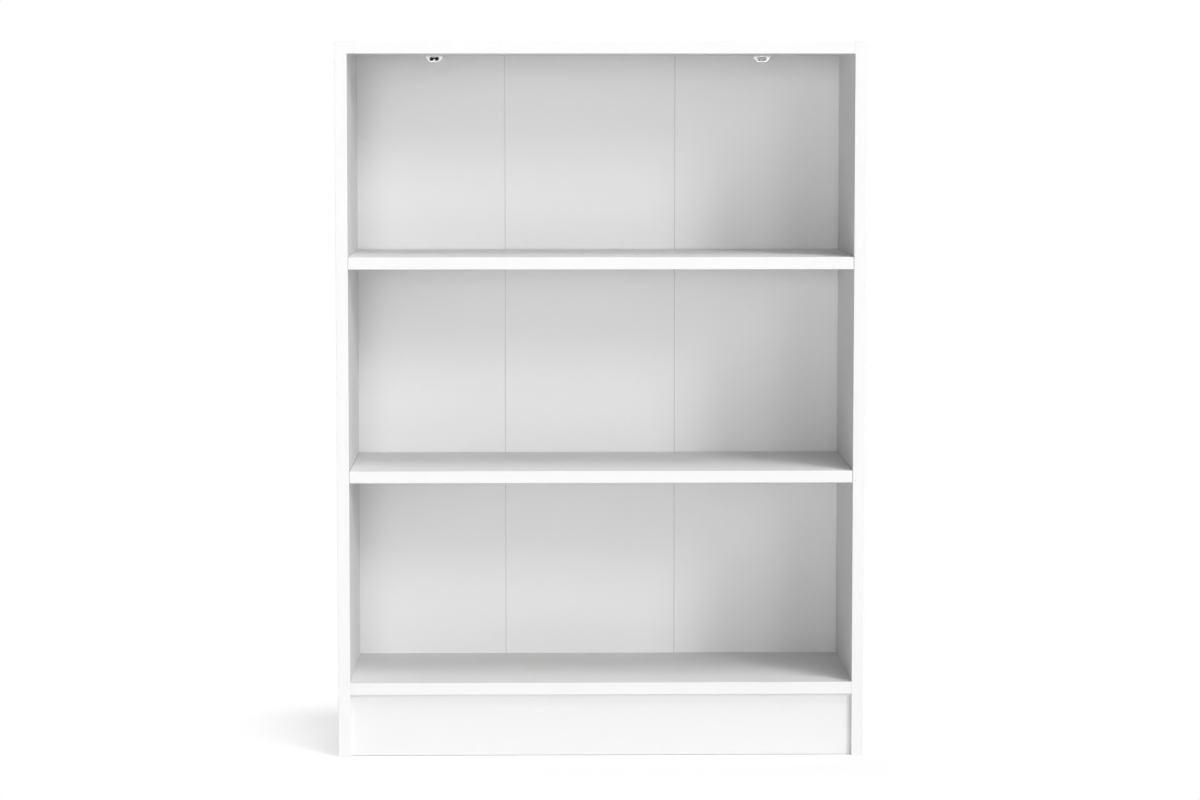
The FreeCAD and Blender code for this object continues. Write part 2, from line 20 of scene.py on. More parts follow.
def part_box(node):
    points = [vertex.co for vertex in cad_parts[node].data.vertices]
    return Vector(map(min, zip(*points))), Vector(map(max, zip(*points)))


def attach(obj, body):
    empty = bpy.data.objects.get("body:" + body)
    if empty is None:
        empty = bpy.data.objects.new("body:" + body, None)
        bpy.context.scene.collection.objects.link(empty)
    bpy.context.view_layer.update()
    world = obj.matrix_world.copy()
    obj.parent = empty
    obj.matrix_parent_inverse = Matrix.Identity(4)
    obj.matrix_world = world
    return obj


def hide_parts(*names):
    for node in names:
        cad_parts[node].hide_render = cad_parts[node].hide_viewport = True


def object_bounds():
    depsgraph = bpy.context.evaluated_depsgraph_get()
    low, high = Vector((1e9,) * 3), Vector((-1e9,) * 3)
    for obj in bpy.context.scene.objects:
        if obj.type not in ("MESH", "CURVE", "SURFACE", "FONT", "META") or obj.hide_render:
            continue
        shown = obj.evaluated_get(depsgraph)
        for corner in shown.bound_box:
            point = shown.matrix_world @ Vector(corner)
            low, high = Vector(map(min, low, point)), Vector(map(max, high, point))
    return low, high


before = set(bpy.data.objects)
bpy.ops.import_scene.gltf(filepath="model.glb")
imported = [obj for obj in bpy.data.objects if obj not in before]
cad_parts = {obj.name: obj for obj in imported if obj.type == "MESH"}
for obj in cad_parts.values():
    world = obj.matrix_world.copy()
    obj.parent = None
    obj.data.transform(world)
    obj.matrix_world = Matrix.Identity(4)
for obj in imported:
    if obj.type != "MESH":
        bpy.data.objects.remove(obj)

CAD_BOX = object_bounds()
LOG = logging.getLogger("bookcase")

MM = 0.001
# Points closer than this are merged into one.
MERGE = 0.001 * MM
# Lengths closer than this count as the same.
SAME = 0.01 * MM
# A normal or an edge lies along an axis where the cosine of the angle between them is over this.
FACING = 0.9
TRIANGLE = 3

# The boards' foil white is dimmed below the full white of the bands and the plinth. This is painted shade,
# standing in for the darker inner walls and shelf tops; the same foil in full white is BRIGHT_WHITE.
SHADE_DIMMED_WHITE = (0.75, 0.75, 0.748)
BRIGHT_WHITE = (0.885, 0.885, 0.883)

Triple = tuple[float, float, float]
Colour = tuple[float, float, float, float]
Profile = Sequence[tuple[float, float]]
Stops = tuple[tuple[float, Triple], ...]
Socket = bpy.types.NodeSocket
Pick = Callable[[Vector, Vector], bool]


class Axis(Enum):
    """A direction of the case."""

    X = (1.0, 0.0, 0.0)
    Y = (0.0, 1.0, 0.0)
    Z = (0.0, 0.0, 1.0)

    @property
    def index(self) -> int:
        """The axis as a place in a vector."""
        return self.value.index(1.0)

    @property
    def vector(self) -> Vector:
        """The axis as a vector."""
        return Vector(self.value)

    @property
    def turn(self) -> Triple:
        """The rotation that lays an upright primitive along the axis."""
        return {"X": (0.0, math.pi / 2, 0.0), "Y": (-math.pi / 2, 0.0, 0.0), "Z": (0.0, 0.0, 0.0)}[self.name]

    def stretch(self, factor: float) -> Triple:
        """Factors that make a pattern longer along this axis alone."""
        return tuple(factor if axis is self else 1.0 for axis in Axis)


class Hand(Enum):
    """The two sides of the case."""

    LEFT = -1
    RIGHT = 1


class Element(Enum):
    """What is selected in edit mode."""

    POINT = "VERT"
    EDGE = "EDGE"
    FACE = "FACE"


class Boolean(Enum):
    """How one piece is combined with others."""

    CUT = "DIFFERENCE"
    JOIN = "UNION"


def opaque(colour: Triple) -> Colour:
    """A colour with full alpha."""
    return (*colour, 1.0)


def grey(level: float) -> Colour:
    """A neutral colour with full alpha."""
    return opaque((level, level, level))


def in_metres(profile: Profile) -> list[tuple[float, float]]:
    """A profile given in millimetres, in metres."""
    return [(place * MM, radius * MM) for place, radius in profile]


def near(value: float, wanted: float) -> bool:
    """True where two lengths are the same."""
    return abs(value - wanted) < SAME


class Graph:
    """A shader node tree that is filled by short calls."""

    def __init__(self, tree: bpy.types.NodeTree) -> None:
        """Starts on an empty tree.

        Args:
            tree: The node tree of a material, a world or a group.
        """
        self.tree = tree
        self.tree.nodes.clear()

    def add(self, kind: str, inputs: dict[str | int, Any] | None = None, **settings: Any) -> bpy.types.Node:
        """Adds a node.

        Args:
            kind: The node's type name.
            inputs: A socket to link, or a value to set, for each input by name or number.
            settings: Properties of the node.

        Returns:
            The new node.
        """
        node = self.tree.nodes.new(kind)
        for name, value in settings.items():
            setattr(node, name, value)
        for key, value in (inputs or {}).items():
            if isinstance(value, Socket):
                self.tree.links.new(value, node.inputs[key])
            else:
                node.inputs[key].default_value = value
        return node

    def maths(self, operation: str, *values: Any) -> Socket:
        """Adds a Math node that takes sockets or numbers, in the node's order."""
        return self.add("ShaderNodeMath", dict(enumerate(values)), operation=operation).outputs[0]

    def along(self, place: Socket, axis: Any) -> Socket:
        """The part of a vector along an axis, given as a vector or a socket."""
        node = self.add("ShaderNodeVectorMath", {0: place, 1: axis}, operation="DOT_PRODUCT")
        return node.outputs["Value"]

    def pushed(self, place: Socket, direction: Socket, reach: Any) -> Socket:
        """A place moved along a direction, by a reach that is a vector or a socket."""
        inputs = {0: direction, 1: reach, 2: place}
        return self.add("ShaderNodeVectorMath", inputs, operation="MULTIPLY_ADD").outputs[0]

    def blend_value(self, factor: Any, low: Any, high: Any) -> Socket:
        """Mixes two values, each a socket or a number. A factor of 0 gives low and 1 gives high."""
        return self.add("ShaderNodeMix", {0: factor, 2: low, 3: high}, data_type="FLOAT").outputs[0]

    def blend_colour(self, factor: Any, low: Any, high: Any) -> Socket:
        """Mixes two colours.

        Args:
            factor: 0 gives low and 1 gives high.
            low: A socket or a colour.
            high: A socket or a colour.

        Returns:
            The mixed colour.
        """
        low = low if isinstance(low, Socket) else opaque(low)
        high = high if isinstance(high, Socket) else opaque(high)
        return self.add("ShaderNodeMix", {0: factor, 6: low, 7: high}, data_type="RGBA").outputs[2]

    def blend_shader(self, factor: Socket, low: Socket, high: Socket) -> Socket:
        """Mixes two shaders. A factor of 0 gives low and 1 gives high."""
        return self.add("ShaderNodeMixShader", {0: factor, 1: low, 2: high}).outputs[0]

    def tinted(self, tint: Socket, colour: Triple) -> Socket:
        """A colour that a tint of 0..1 darkens."""
        return self.blend_colour(tint, (0.0, 0.0, 0.0), colour)

    def ramp(self, value: Socket, stops: Stops) -> Socket:
        """Colours a value.

        Args:
            value: The value, 0..1.
            stops: Places and their colours: the two ends first, then what lies between them.

        Returns:
            The colour.
        """
        node = self.add("ShaderNodeValToRGB", {"Fac": value})
        elements = node.color_ramp.elements
        for count, (place, colour) in enumerate(stops):
            stop = elements[count] if count < 2 else elements.new(place)
            stop.position, stop.color = place, opaque(colour)
        return node.outputs["Color"]

    def spread(self, value: Socket, low: Any, high: Any, start: Any = 0.0, end: Any = 1.0) -> Socket:
        """Maps a value from start..end to low..high."""
        inputs = {"Value": value, "From Min": start, "From Max": end, "To Min": low, "To Max": high}
        return self.add("ShaderNodeMapRange", inputs).outputs[0]

    def noise(self, place: Socket, size: Any, detail: float, stretch: Triple = (1.0, 1.0, 1.0)) -> Socket:
        """Adds noise whose features are about one size across.

        Args:
            place: The coordinates to read.
            size: The size of a feature in metres, as a number or a socket.
            detail: The number of finer octaves.
            stretch: How much longer features are along each axis.

        Returns:
            The noise, about 0..1.
        """
        scale = tuple(1.0 / part for part in stretch)
        mapped = self.add("ShaderNodeMapping", {"Vector": place, "Scale": scale}).outputs[0]
        pace = self.maths("DIVIDE", 1.0, size) if isinstance(size, Socket) else 1.0 / size
        inputs = {"Vector": mapped, "Scale": pace, "Detail": detail}
        return self.add("ShaderNodeTexNoise", inputs).outputs["Fac"]

    def bump(self, height: Socket) -> Socket:
        """A normal that follows a height in metres."""
        return self.add("ShaderNodeBump", {"Height": height, "Distance": 1.0}).outputs[0]


class Effect:
    """A shader node group that several finishes share."""

    def __init__(self, name: str, inputs: dict[str, Any], outputs: dict[str, str]) -> None:
        """Makes an empty group with named sockets.

        Args:
            name: The group's name.
            inputs: A default for each input: None or a tuple for a vector, else a number.
            outputs: The socket type of each output.
        """
        self.tree = bpy.data.node_groups.new(name, "ShaderNodeTree")
        for label, default in inputs.items():
            vector = default is None or isinstance(default, tuple)
            kind = "NodeSocketVector" if vector else "NodeSocketFloat"
            socket = self.tree.interface.new_socket(name=label, in_out="INPUT", socket_type=kind)
            if default is not None:
                socket.default_value = default
        for label, kind in outputs.items():
            self.tree.interface.new_socket(name=label, in_out="OUTPUT", socket_type=kind)
        self.graph = Graph(self.tree)
        self.inputs = self.graph.add("NodeGroupInput").outputs
        self.outputs = self.graph.add("NodeGroupOutput").inputs

    def put(self, name: str, value: Socket) -> None:
        """Links a value to one of the group's outputs."""
        self.tree.links.new(value, self.outputs[name])

    def use(self, graph: Graph, **inputs: Any) -> dict[str, Socket]:
        """Places the group in a material's graph, with its own inputs, and gives its outputs by name."""
        node = graph.add("ShaderNodeGroup", inputs, node_tree=self.tree)
        return {socket.name: socket for socket in node.outputs}


class Effects:
    """The shared effects: where a board shows its foil, its particle core, fibres, and fine skins."""

    def __init__(self) -> None:
        """Builds each group once."""
        self.foil_faces = self._foil_faces()
        self.particle_core = self._particle_core()
        self.fine_skin = self._fine_skin()
        self.fibres = self._fibres()

    @staticmethod
    def _foil_faces() -> Effect:
        """A mask that is 1 on the two wide faces of a board and 0 on its edges, grooves and drillings.

        Returns:
            The group.
        """
        effect = Effect(
            "foil_faces",
            {"Place": None, "Axis": Axis.Z.value, "Low": 0.0, "High": 1.0, "Foil": 0.1 * MM},
            {"Mask": "NodeSocketFloat"},
        )
        graph, given = effect.graph, effect.inputs
        level = graph.along(given["Place"], given["Axis"])
        low = graph.maths("COMPARE", level, given["Low"], given["Foil"])
        high = graph.maths("COMPARE", level, given["High"], given["Foil"])
        effect.put("Mask", graph.maths("MAXIMUM", low, high))
        return effect

    @staticmethod
    def _particle_core() -> Effect:
        """Pressed wood particles that lie flat: coarse in the middle of the board, fine under its faces.

        Returns:
            The group.
        """
        flatness, relief = 2.4, 0.12 * MM
        fine_from, fine_full = 0.28, 0.36
        wobble_scale, wobble_detail, wobble_reach = 300.0, 3.0, 4.0 * MM
        chip_scale, dust_scale = 330.0, 1100.0
        tones = ((0.0, (0.38, 0.265, 0.155)), (1.0, (0.74, 0.60, 0.43)), (0.45, (0.60, 0.455, 0.295)))
        effect = Effect(
            "particle_core",
            {"Place": None, "Axis": Axis.Z.value, "Low": 0.0, "High": 1.0},
            {"Color": "NodeSocketColor", "Height": "NodeSocketFloat"},
        )
        graph, given = effect.graph, effect.inputs
        level = graph.along(given["Place"], given["Axis"])
        across = graph.spread(level, 0.0, 1.0, given["Low"], given["High"])
        from_middle = graph.maths("ABSOLUTE", graph.maths("SUBTRACT", across, 0.5))
        fine_layer = graph.spread(from_middle, 0.0, 1.0, fine_from, fine_full)
        wobbling = {"Vector": given["Place"], "Scale": wobble_scale, "Detail": wobble_detail}
        wobble = graph.add("ShaderNodeTexNoise", wobbling).outputs["Color"]
        rise = graph.maths("MULTIPLY", level, flatness - 1.0)
        flat = graph.pushed(given["Place"], given["Axis"], rise)
        bent = graph.pushed(flat, wobble, (wobble_reach, wobble_reach, wobble_reach))
        chips = graph.add("ShaderNodeTexVoronoi", {"Vector": bent, "Scale": chip_scale}).outputs
        dust = graph.add("ShaderNodeTexVoronoi", {"Vector": bent, "Scale": dust_scale}).outputs
        chip_shade, dust_shade = (
            graph.add("ShaderNodeSeparateColor", {0: grains["Color"]}).outputs[0] for grains in (chips, dust)
        )
        shade = graph.blend_value(fine_layer, chip_shade, dust_shade)
        effect.put("Color", graph.ramp(shade, tones))
        gaps = graph.blend_value(fine_layer, chips["Distance"], dust["Distance"])
        effect.put("Height", graph.maths("MULTIPLY", graph.maths("ADD", shade, gaps), relief))
        return effect

    @staticmethod
    def _fine_skin() -> Effect:
        """A fine even surface: a faint mottle of tint and gloss, and a texture much smaller than a hair.

        Returns:
            The group.
        """
        cloud_size, patch_size, darkest = 120.0 * MM, 35.0 * MM, 0.975
        effect = Effect(
            "fine_skin",
            {"Place": None, "Grain": 0.6 * MM, "Relief": 0.004 * MM, "Gloss": 0.4, "Mottle": 0.06},
            {"Tint": "NodeSocketFloat", "Roughness": "NodeSocketFloat", "Height": "NodeSocketFloat"},
        )
        graph, given = effect.graph, effect.inputs
        grain = graph.noise(given["Place"], given["Grain"], detail=3.0)
        cloud = graph.noise(given["Place"], cloud_size, detail=3.0)
        patch = graph.noise(given["Place"], patch_size, detail=4.0)
        effect.put("Tint", graph.spread(cloud, darkest, 1.0))
        sway = graph.maths("MULTIPLY", graph.maths("SUBTRACT", patch, 0.5), given["Mottle"])
        effect.put("Roughness", graph.maths("ADD", given["Gloss"], sway))
        effect.put("Height", graph.maths("MULTIPLY", grain, given["Relief"]))
        return effect

    @staticmethod
    def _fibres() -> Effect:
        """Fibres that lie across each other in the plane of X and Z, as in fibreboard or paper.

        Returns:
            The group.
        """
        slender, dark_below, pale_above = 9.0, 0.38, 0.78
        effect = Effect(
            "fibres",
            {"Place": None, "Size": 0.5 * MM, "Relief": 0.01 * MM},
            {"Shade": "NodeSocketFloat", "Height": "NodeSocketFloat"},
        )
        graph, given = effect.graph, effect.inputs
        level, upright = (
            graph.noise(given["Place"], given["Size"], detail=4.0, stretch=axis.stretch(slender))
            for axis in (Axis.X, Axis.Z)
        )
        strands = graph.maths("MAXIMUM", level, upright)
        effect.put("Shade", graph.spread(strands, 0.0, 1.0, dark_below, pale_above))
        effect.put("Height", graph.maths("MULTIPLY", strands, given["Relief"]))
        return effect


EFFECTS = Effects()


@dataclass(frozen=True)
class Finish:
    """The look of one surface."""

    name: str

    def material(self) -> bpy.types.Material:
        """Builds the material of this finish.

        Returns:
            A new material with its own nodes.
        """
        made = bpy.data.materials.new(self.name)
        made.use_nodes = True
        graph = Graph(made.node_tree)
        place = graph.add("ShaderNodeTexCoord").outputs["Object"]
        shader = graph.add("ShaderNodeBsdfPrincipled", self.sockets(graph, place))
        graph.add("ShaderNodeOutputMaterial", {"Surface": shader.outputs[0]})
        return made

    def sockets(self, graph: Graph, place: Socket) -> dict[str, Any]:
        """What goes into the shader's sockets.

        Args:
            graph: The material's graph.
            place: Object coordinates, in metres.

        Returns:
            A socket or a value for each of the shader's inputs.
        """
        raise NotImplementedError


@dataclass(frozen=True)
class Board(Finish):
    """White foil on both wide faces of a particle board, with the bare core at its edges and drillings."""

    axis: Axis
    low: float
    high: float
    white: Triple
    gloss: float = 0.78
    core_roughness: float = 0.9
    specular: float = 0.12

    @classmethod
    def of_node(cls, node: str, axis: Axis, white: Triple) -> "Board":
        """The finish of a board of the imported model, with its faces where that board has them."""
        low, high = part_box(node)
        return cls(node + "_foil", axis, low[axis.index], high[axis.index], white)

    def sockets(self, graph: Graph, place: Socket) -> dict[str, Any]:
        """Foil where the mask is 1, particles elsewhere.

        Args:
            graph: The material's graph.
            place: Object coordinates, in metres.

        Returns:
            A socket or a value for each of the shader's inputs.
        """
        faces = {"Axis": self.axis.value, "Low": self.low, "High": self.high}
        mask = EFFECTS.foil_faces.use(graph, Place=place, **faces)["Mask"]
        core = EFFECTS.particle_core.use(graph, Place=place, **faces)
        skin = EFFECTS.fine_skin.use(graph, Place=place, Gloss=self.gloss)
        return {
            "Base Color": graph.blend_colour(mask, core["Color"], graph.tinted(skin["Tint"], self.white)),
            "Roughness": graph.blend_value(mask, self.core_roughness, skin["Roughness"]),
            "Normal": graph.bump(graph.blend_value(mask, core["Height"], skin["Height"])),
            "Specular IOR Level": self.specular,
        }


@dataclass(frozen=True)
class EdgeBand(Finish):
    """A band of white plastic, milled along its length, with the line of its glue beside the board."""

    length: Axis
    axis: Axis
    joint: float
    white: Triple = BRIGHT_WHITE
    glue: Triple = (0.62, 0.605, 0.57)
    glue_line: float = 0.1 * MM
    relief: float = 0.002 * MM
    mark_width: float = 0.5 * MM
    mark_depth: float = 0.004 * MM
    mark_stretch: float = 40.0
    gloss: float = 0.42
    specular: float = 0.3

    @classmethod
    def of_node(cls, node: str) -> "EdgeBand":
        """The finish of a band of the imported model: an upper one lies along Y, a front one along X or Z.

        Args:
            node: The band's node.

        Returns:
            The finish, with its glue on the side of the board.
        """
        low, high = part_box(node)
        length = max(Axis, key=lambda axis: high[axis.index] - low[axis.index])
        if length is Axis.Y:
            return cls(node + "_band", length, Axis.Z, low[Axis.Z.index])
        return cls(node + "_band", length, Axis.Y, high[Axis.Y.index])

    def sockets(self, graph: Graph, place: Socket) -> dict[str, Any]:
        """White with faint milling marks, and a darker line of glue.

        Args:
            graph: The material's graph.
            place: Object coordinates, in metres.

        Returns:
            A socket or a value for each of the shader's inputs.
        """
        skin = EFFECTS.fine_skin.use(graph, Place=place, Gloss=self.gloss, Relief=self.relief)
        stretch = self.length.stretch(self.mark_stretch)
        marks = graph.noise(place, self.mark_width, detail=2.0, stretch=stretch)
        height = graph.maths("ADD", skin["Height"], graph.maths("MULTIPLY", marks, self.mark_depth))
        glue = graph.maths("COMPARE", graph.along(place, self.axis.value), self.joint, self.glue_line)
        return {
            "Base Color": graph.blend_colour(glue, graph.tinted(skin["Tint"], self.white), self.glue),
            "Roughness": skin["Roughness"],
            "Normal": graph.bump(height),
            "Specular IOR Level": self.specular,
        }


@dataclass(frozen=True)
class BackLeaf(Finish):
    """Thin fibreboard, lacquered white in front as far as its broken corners, and bare behind."""

    front: float
    lacquer: float = 0.1 * MM
    white: Triple = (0.87, 0.87, 0.87)
    grain: float = 0.9 * MM
    gloss: float = 0.6
    blotch: float = 20.0 * MM
    blotch_share: float = 0.35
    browns: Stops = ((0.15, (0.20, 0.125, 0.07)), (0.85, (0.46, 0.32, 0.20)), (0.5, (0.34, 0.22, 0.13)))
    bare_roughness: float = 0.78
    specular: float = 0.2

    def sockets(self, graph: Graph, place: Socket) -> dict[str, Any]:
        """Lacquer near the front plane, fibres elsewhere.

        Args:
            graph: The material's graph.
            place: Object coordinates, in metres.

        Returns:
            A socket or a value for each of the shader's inputs.
        """
        skin = EFFECTS.fine_skin.use(graph, Place=place, Gloss=self.gloss, Grain=self.grain)
        fibres = EFFECTS.fibres.use(graph, Place=place)
        blotches = graph.noise(place, self.blotch, detail=3.0)
        bare = graph.ramp(graph.blend_value(self.blotch_share, fibres["Shade"], blotches), self.browns)
        mask = graph.maths("COMPARE", graph.along(place, Axis.Y.value), self.front, self.lacquer)
        return {
            "Base Color": graph.blend_colour(mask, bare, graph.tinted(skin["Tint"], self.white)),
            "Roughness": graph.blend_value(mask, self.bare_roughness, skin["Roughness"]),
            "Normal": graph.bump(graph.blend_value(mask, fibres["Height"], skin["Height"])),
            "Specular IOR Level": self.specular,
        }


@dataclass(frozen=True)
class PaperTape(Finish):
    """Cream paper tape with creases across it."""

    pale: Triple = (0.78, 0.74, 0.64)
    dark: Triple = (0.66, 0.60, 0.48)
    roughness: tuple[float, float] = (0.75, 0.9)
    fibre_size: float = 0.35 * MM
    fibre_relief: float = 0.006 * MM
    crease_width: float = 0.7 * MM
    crease_depth: float = 0.05 * MM
    crease_stretch: float = 14.0
    crease_share: float = 0.5

    def sockets(self, graph: Graph, place: Socket) -> dict[str, Any]:
        """Fibres, with creases along X.

        Args:
            graph: The material's graph.
            place: Object coordinates, in metres.

        Returns:
            A socket or a value for each of the shader's inputs.
        """
        fibres = EFFECTS.fibres.use(graph, Place=place, Size=self.fibre_size, Relief=self.fibre_relief)
        stretch = Axis.X.stretch(self.crease_stretch)
        creases = graph.noise(place, self.crease_width, detail=2.0, stretch=stretch)
        height = graph.maths("ADD", fibres["Height"], graph.maths("MULTIPLY", creases, self.crease_depth))
        shade = graph.blend_value(self.crease_share, fibres["Shade"], creases)
        return {
            "Base Color": graph.blend_colour(shade, self.dark, self.pale),
            "Roughness": graph.spread(shade, *self.roughness),
            "Normal": graph.bump(height),
        }


@dataclass(frozen=True)
class Beech(Finish):
    """Turned beech with short dark rays, its grain along X."""

    pale: Triple = (0.66, 0.47, 0.30)
    dark: Triple = (0.45, 0.28, 0.16)
    roughness: tuple[float, float] = (0.55, 0.72)
    grain_width: float = 0.9 * MM
    grain_depth: float = 0.06 * MM
    grain_stretch: float = 22.0
    grain_range: tuple[float, float] = (0.25, 0.75)
    ray_width: float = 0.35 * MM
    ray_stretch: float = 8.0
    ray_range: tuple[float, float] = (0.6, 0.75)
    ray_shade: float = 0.6

    def sockets(self, graph: Graph, place: Socket) -> dict[str, Any]:
        """Grain, and rays a few millimetres long.

        Args:
            graph: The material's graph.
            place: Object coordinates, in metres.

        Returns:
            A socket or a value for each of the shader's inputs.
        """
        grain = graph.noise(place, self.grain_width, detail=4.0, stretch=Axis.X.stretch(self.grain_stretch))
        flecks = graph.noise(place, self.ray_width, detail=1.0, stretch=Axis.X.stretch(self.ray_stretch))
        rays = graph.spread(flecks, 0.0, self.ray_shade, *self.ray_range)
        shade = graph.maths("SUBTRACT", graph.spread(grain, 0.0, 1.0, *self.grain_range), rays)
        return {
            "Base Color": graph.blend_colour(shade, self.dark, self.pale),
            "Roughness": graph.spread(grain, *self.roughness),
            "Normal": graph.bump(graph.maths("MULTIPLY", grain, self.grain_depth)),
        }


@dataclass(frozen=True)
class Metal(Finish):
    """Bare or plated metal, with stains and a fine texture from its casting or plating."""

    bright: Triple
    dull: Triple
    gloss: float
    grain: float
    relief: float
    mottle: float = 0.16
    stain: float = 3.0 * MM
    stain_range: tuple[float, float] = (0.35, 0.7)

    def sockets(self, graph: Graph, place: Socket) -> dict[str, Any]:
        """Two shades of the metal in soft stains.

        Args:
            graph: The material's graph.
            place: Object coordinates, in metres.

        Returns:
            A socket or a value for each of the shader's inputs.
        """
        inputs = {"Gloss": self.gloss, "Grain": self.grain, "Relief": self.relief, "Mottle": self.mottle}
        skin = EFFECTS.fine_skin.use(graph, Place=place, **inputs)
        stains = graph.spread(graph.noise(place, self.stain, detail=4.0), 0.0, 1.0, *self.stain_range)
        return {
            "Base Color": graph.blend_colour(stains, self.bright, self.dull),
            "Roughness": skin["Roughness"],
            "Normal": graph.bump(skin["Height"]),
            "Metallic": 1.0,
        }


@dataclass(frozen=True)
class Rubber(Finish):
    """Plain coloured rubber with a fine texture."""

    colour: Triple
    gloss: float = 0.75
    grain: float = 0.3 * MM
    relief: float = 0.02 * MM
    specular: float = 0.4

    def sockets(self, graph: Graph, place: Socket) -> dict[str, Any]:
        """The colour with a faint mottle, and a fine bump.

        Args:
            graph: The material's graph.
            place: Object coordinates, in metres.

        Returns:
            A socket or a value for each of the shader's inputs.
        """
        inputs = {"Gloss": self.gloss, "Grain": self.grain, "Relief": self.relief}
        skin = EFFECTS.fine_skin.use(graph, Place=place, **inputs)
        return {
            "Base Color": graph.tinted(skin["Tint"], self.colour),
            "Roughness": skin["Roughness"],
            "Normal": graph.bump(skin["Height"]),
            "Specular IOR Level": self.specular,
        }


CAST_ZINC = Metal(
    "cast_zinc", bright=(0.56, 0.56, 0.57), dull=(0.40, 0.40, 0.41),
    gloss=0.42, grain=0.5 * MM, relief=0.02 * MM,
)
PLATED_STEEL = Metal(
    "plated_steel", bright=(0.74, 0.74, 0.72), dull=(0.58, 0.575, 0.55),
    gloss=0.28, grain=0.3 * MM, relief=0.005 * MM,
)
BRIGHT_STEEL = Metal(
    "bright_steel", bright=(0.84, 0.84, 0.835), dull=(0.76, 0.76, 0.75),
    gloss=0.3, grain=0.3 * MM, relief=0.003 * MM, mottle=0.1,
)
# The pad behind the left bracket is real, but its black is painted shade: it stands in for the dark seen
# through that bracket's holes, where the right pad stays pale.
SHADE_BLACK_RUBBER = Rubber("black_rubber", (0.015, 0.015, 0.015))
PALE_RUBBER = Rubber("pale_rubber", (0.8, 0.8, 0.79))
BEECH = Beech("beech")
PAPER_TAPE = PaperTape("paper_tape")


def dress(node: str, finish: Finish) -> None:
    """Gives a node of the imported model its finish.

    Args:
        node: The node's name.
        finish: Its finish.
    """
    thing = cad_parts[node]
    thing.data.materials.clear()
    thing.data.materials.append(finish.material())
    LOG.info("dressed %s as %s", node, finish.name)


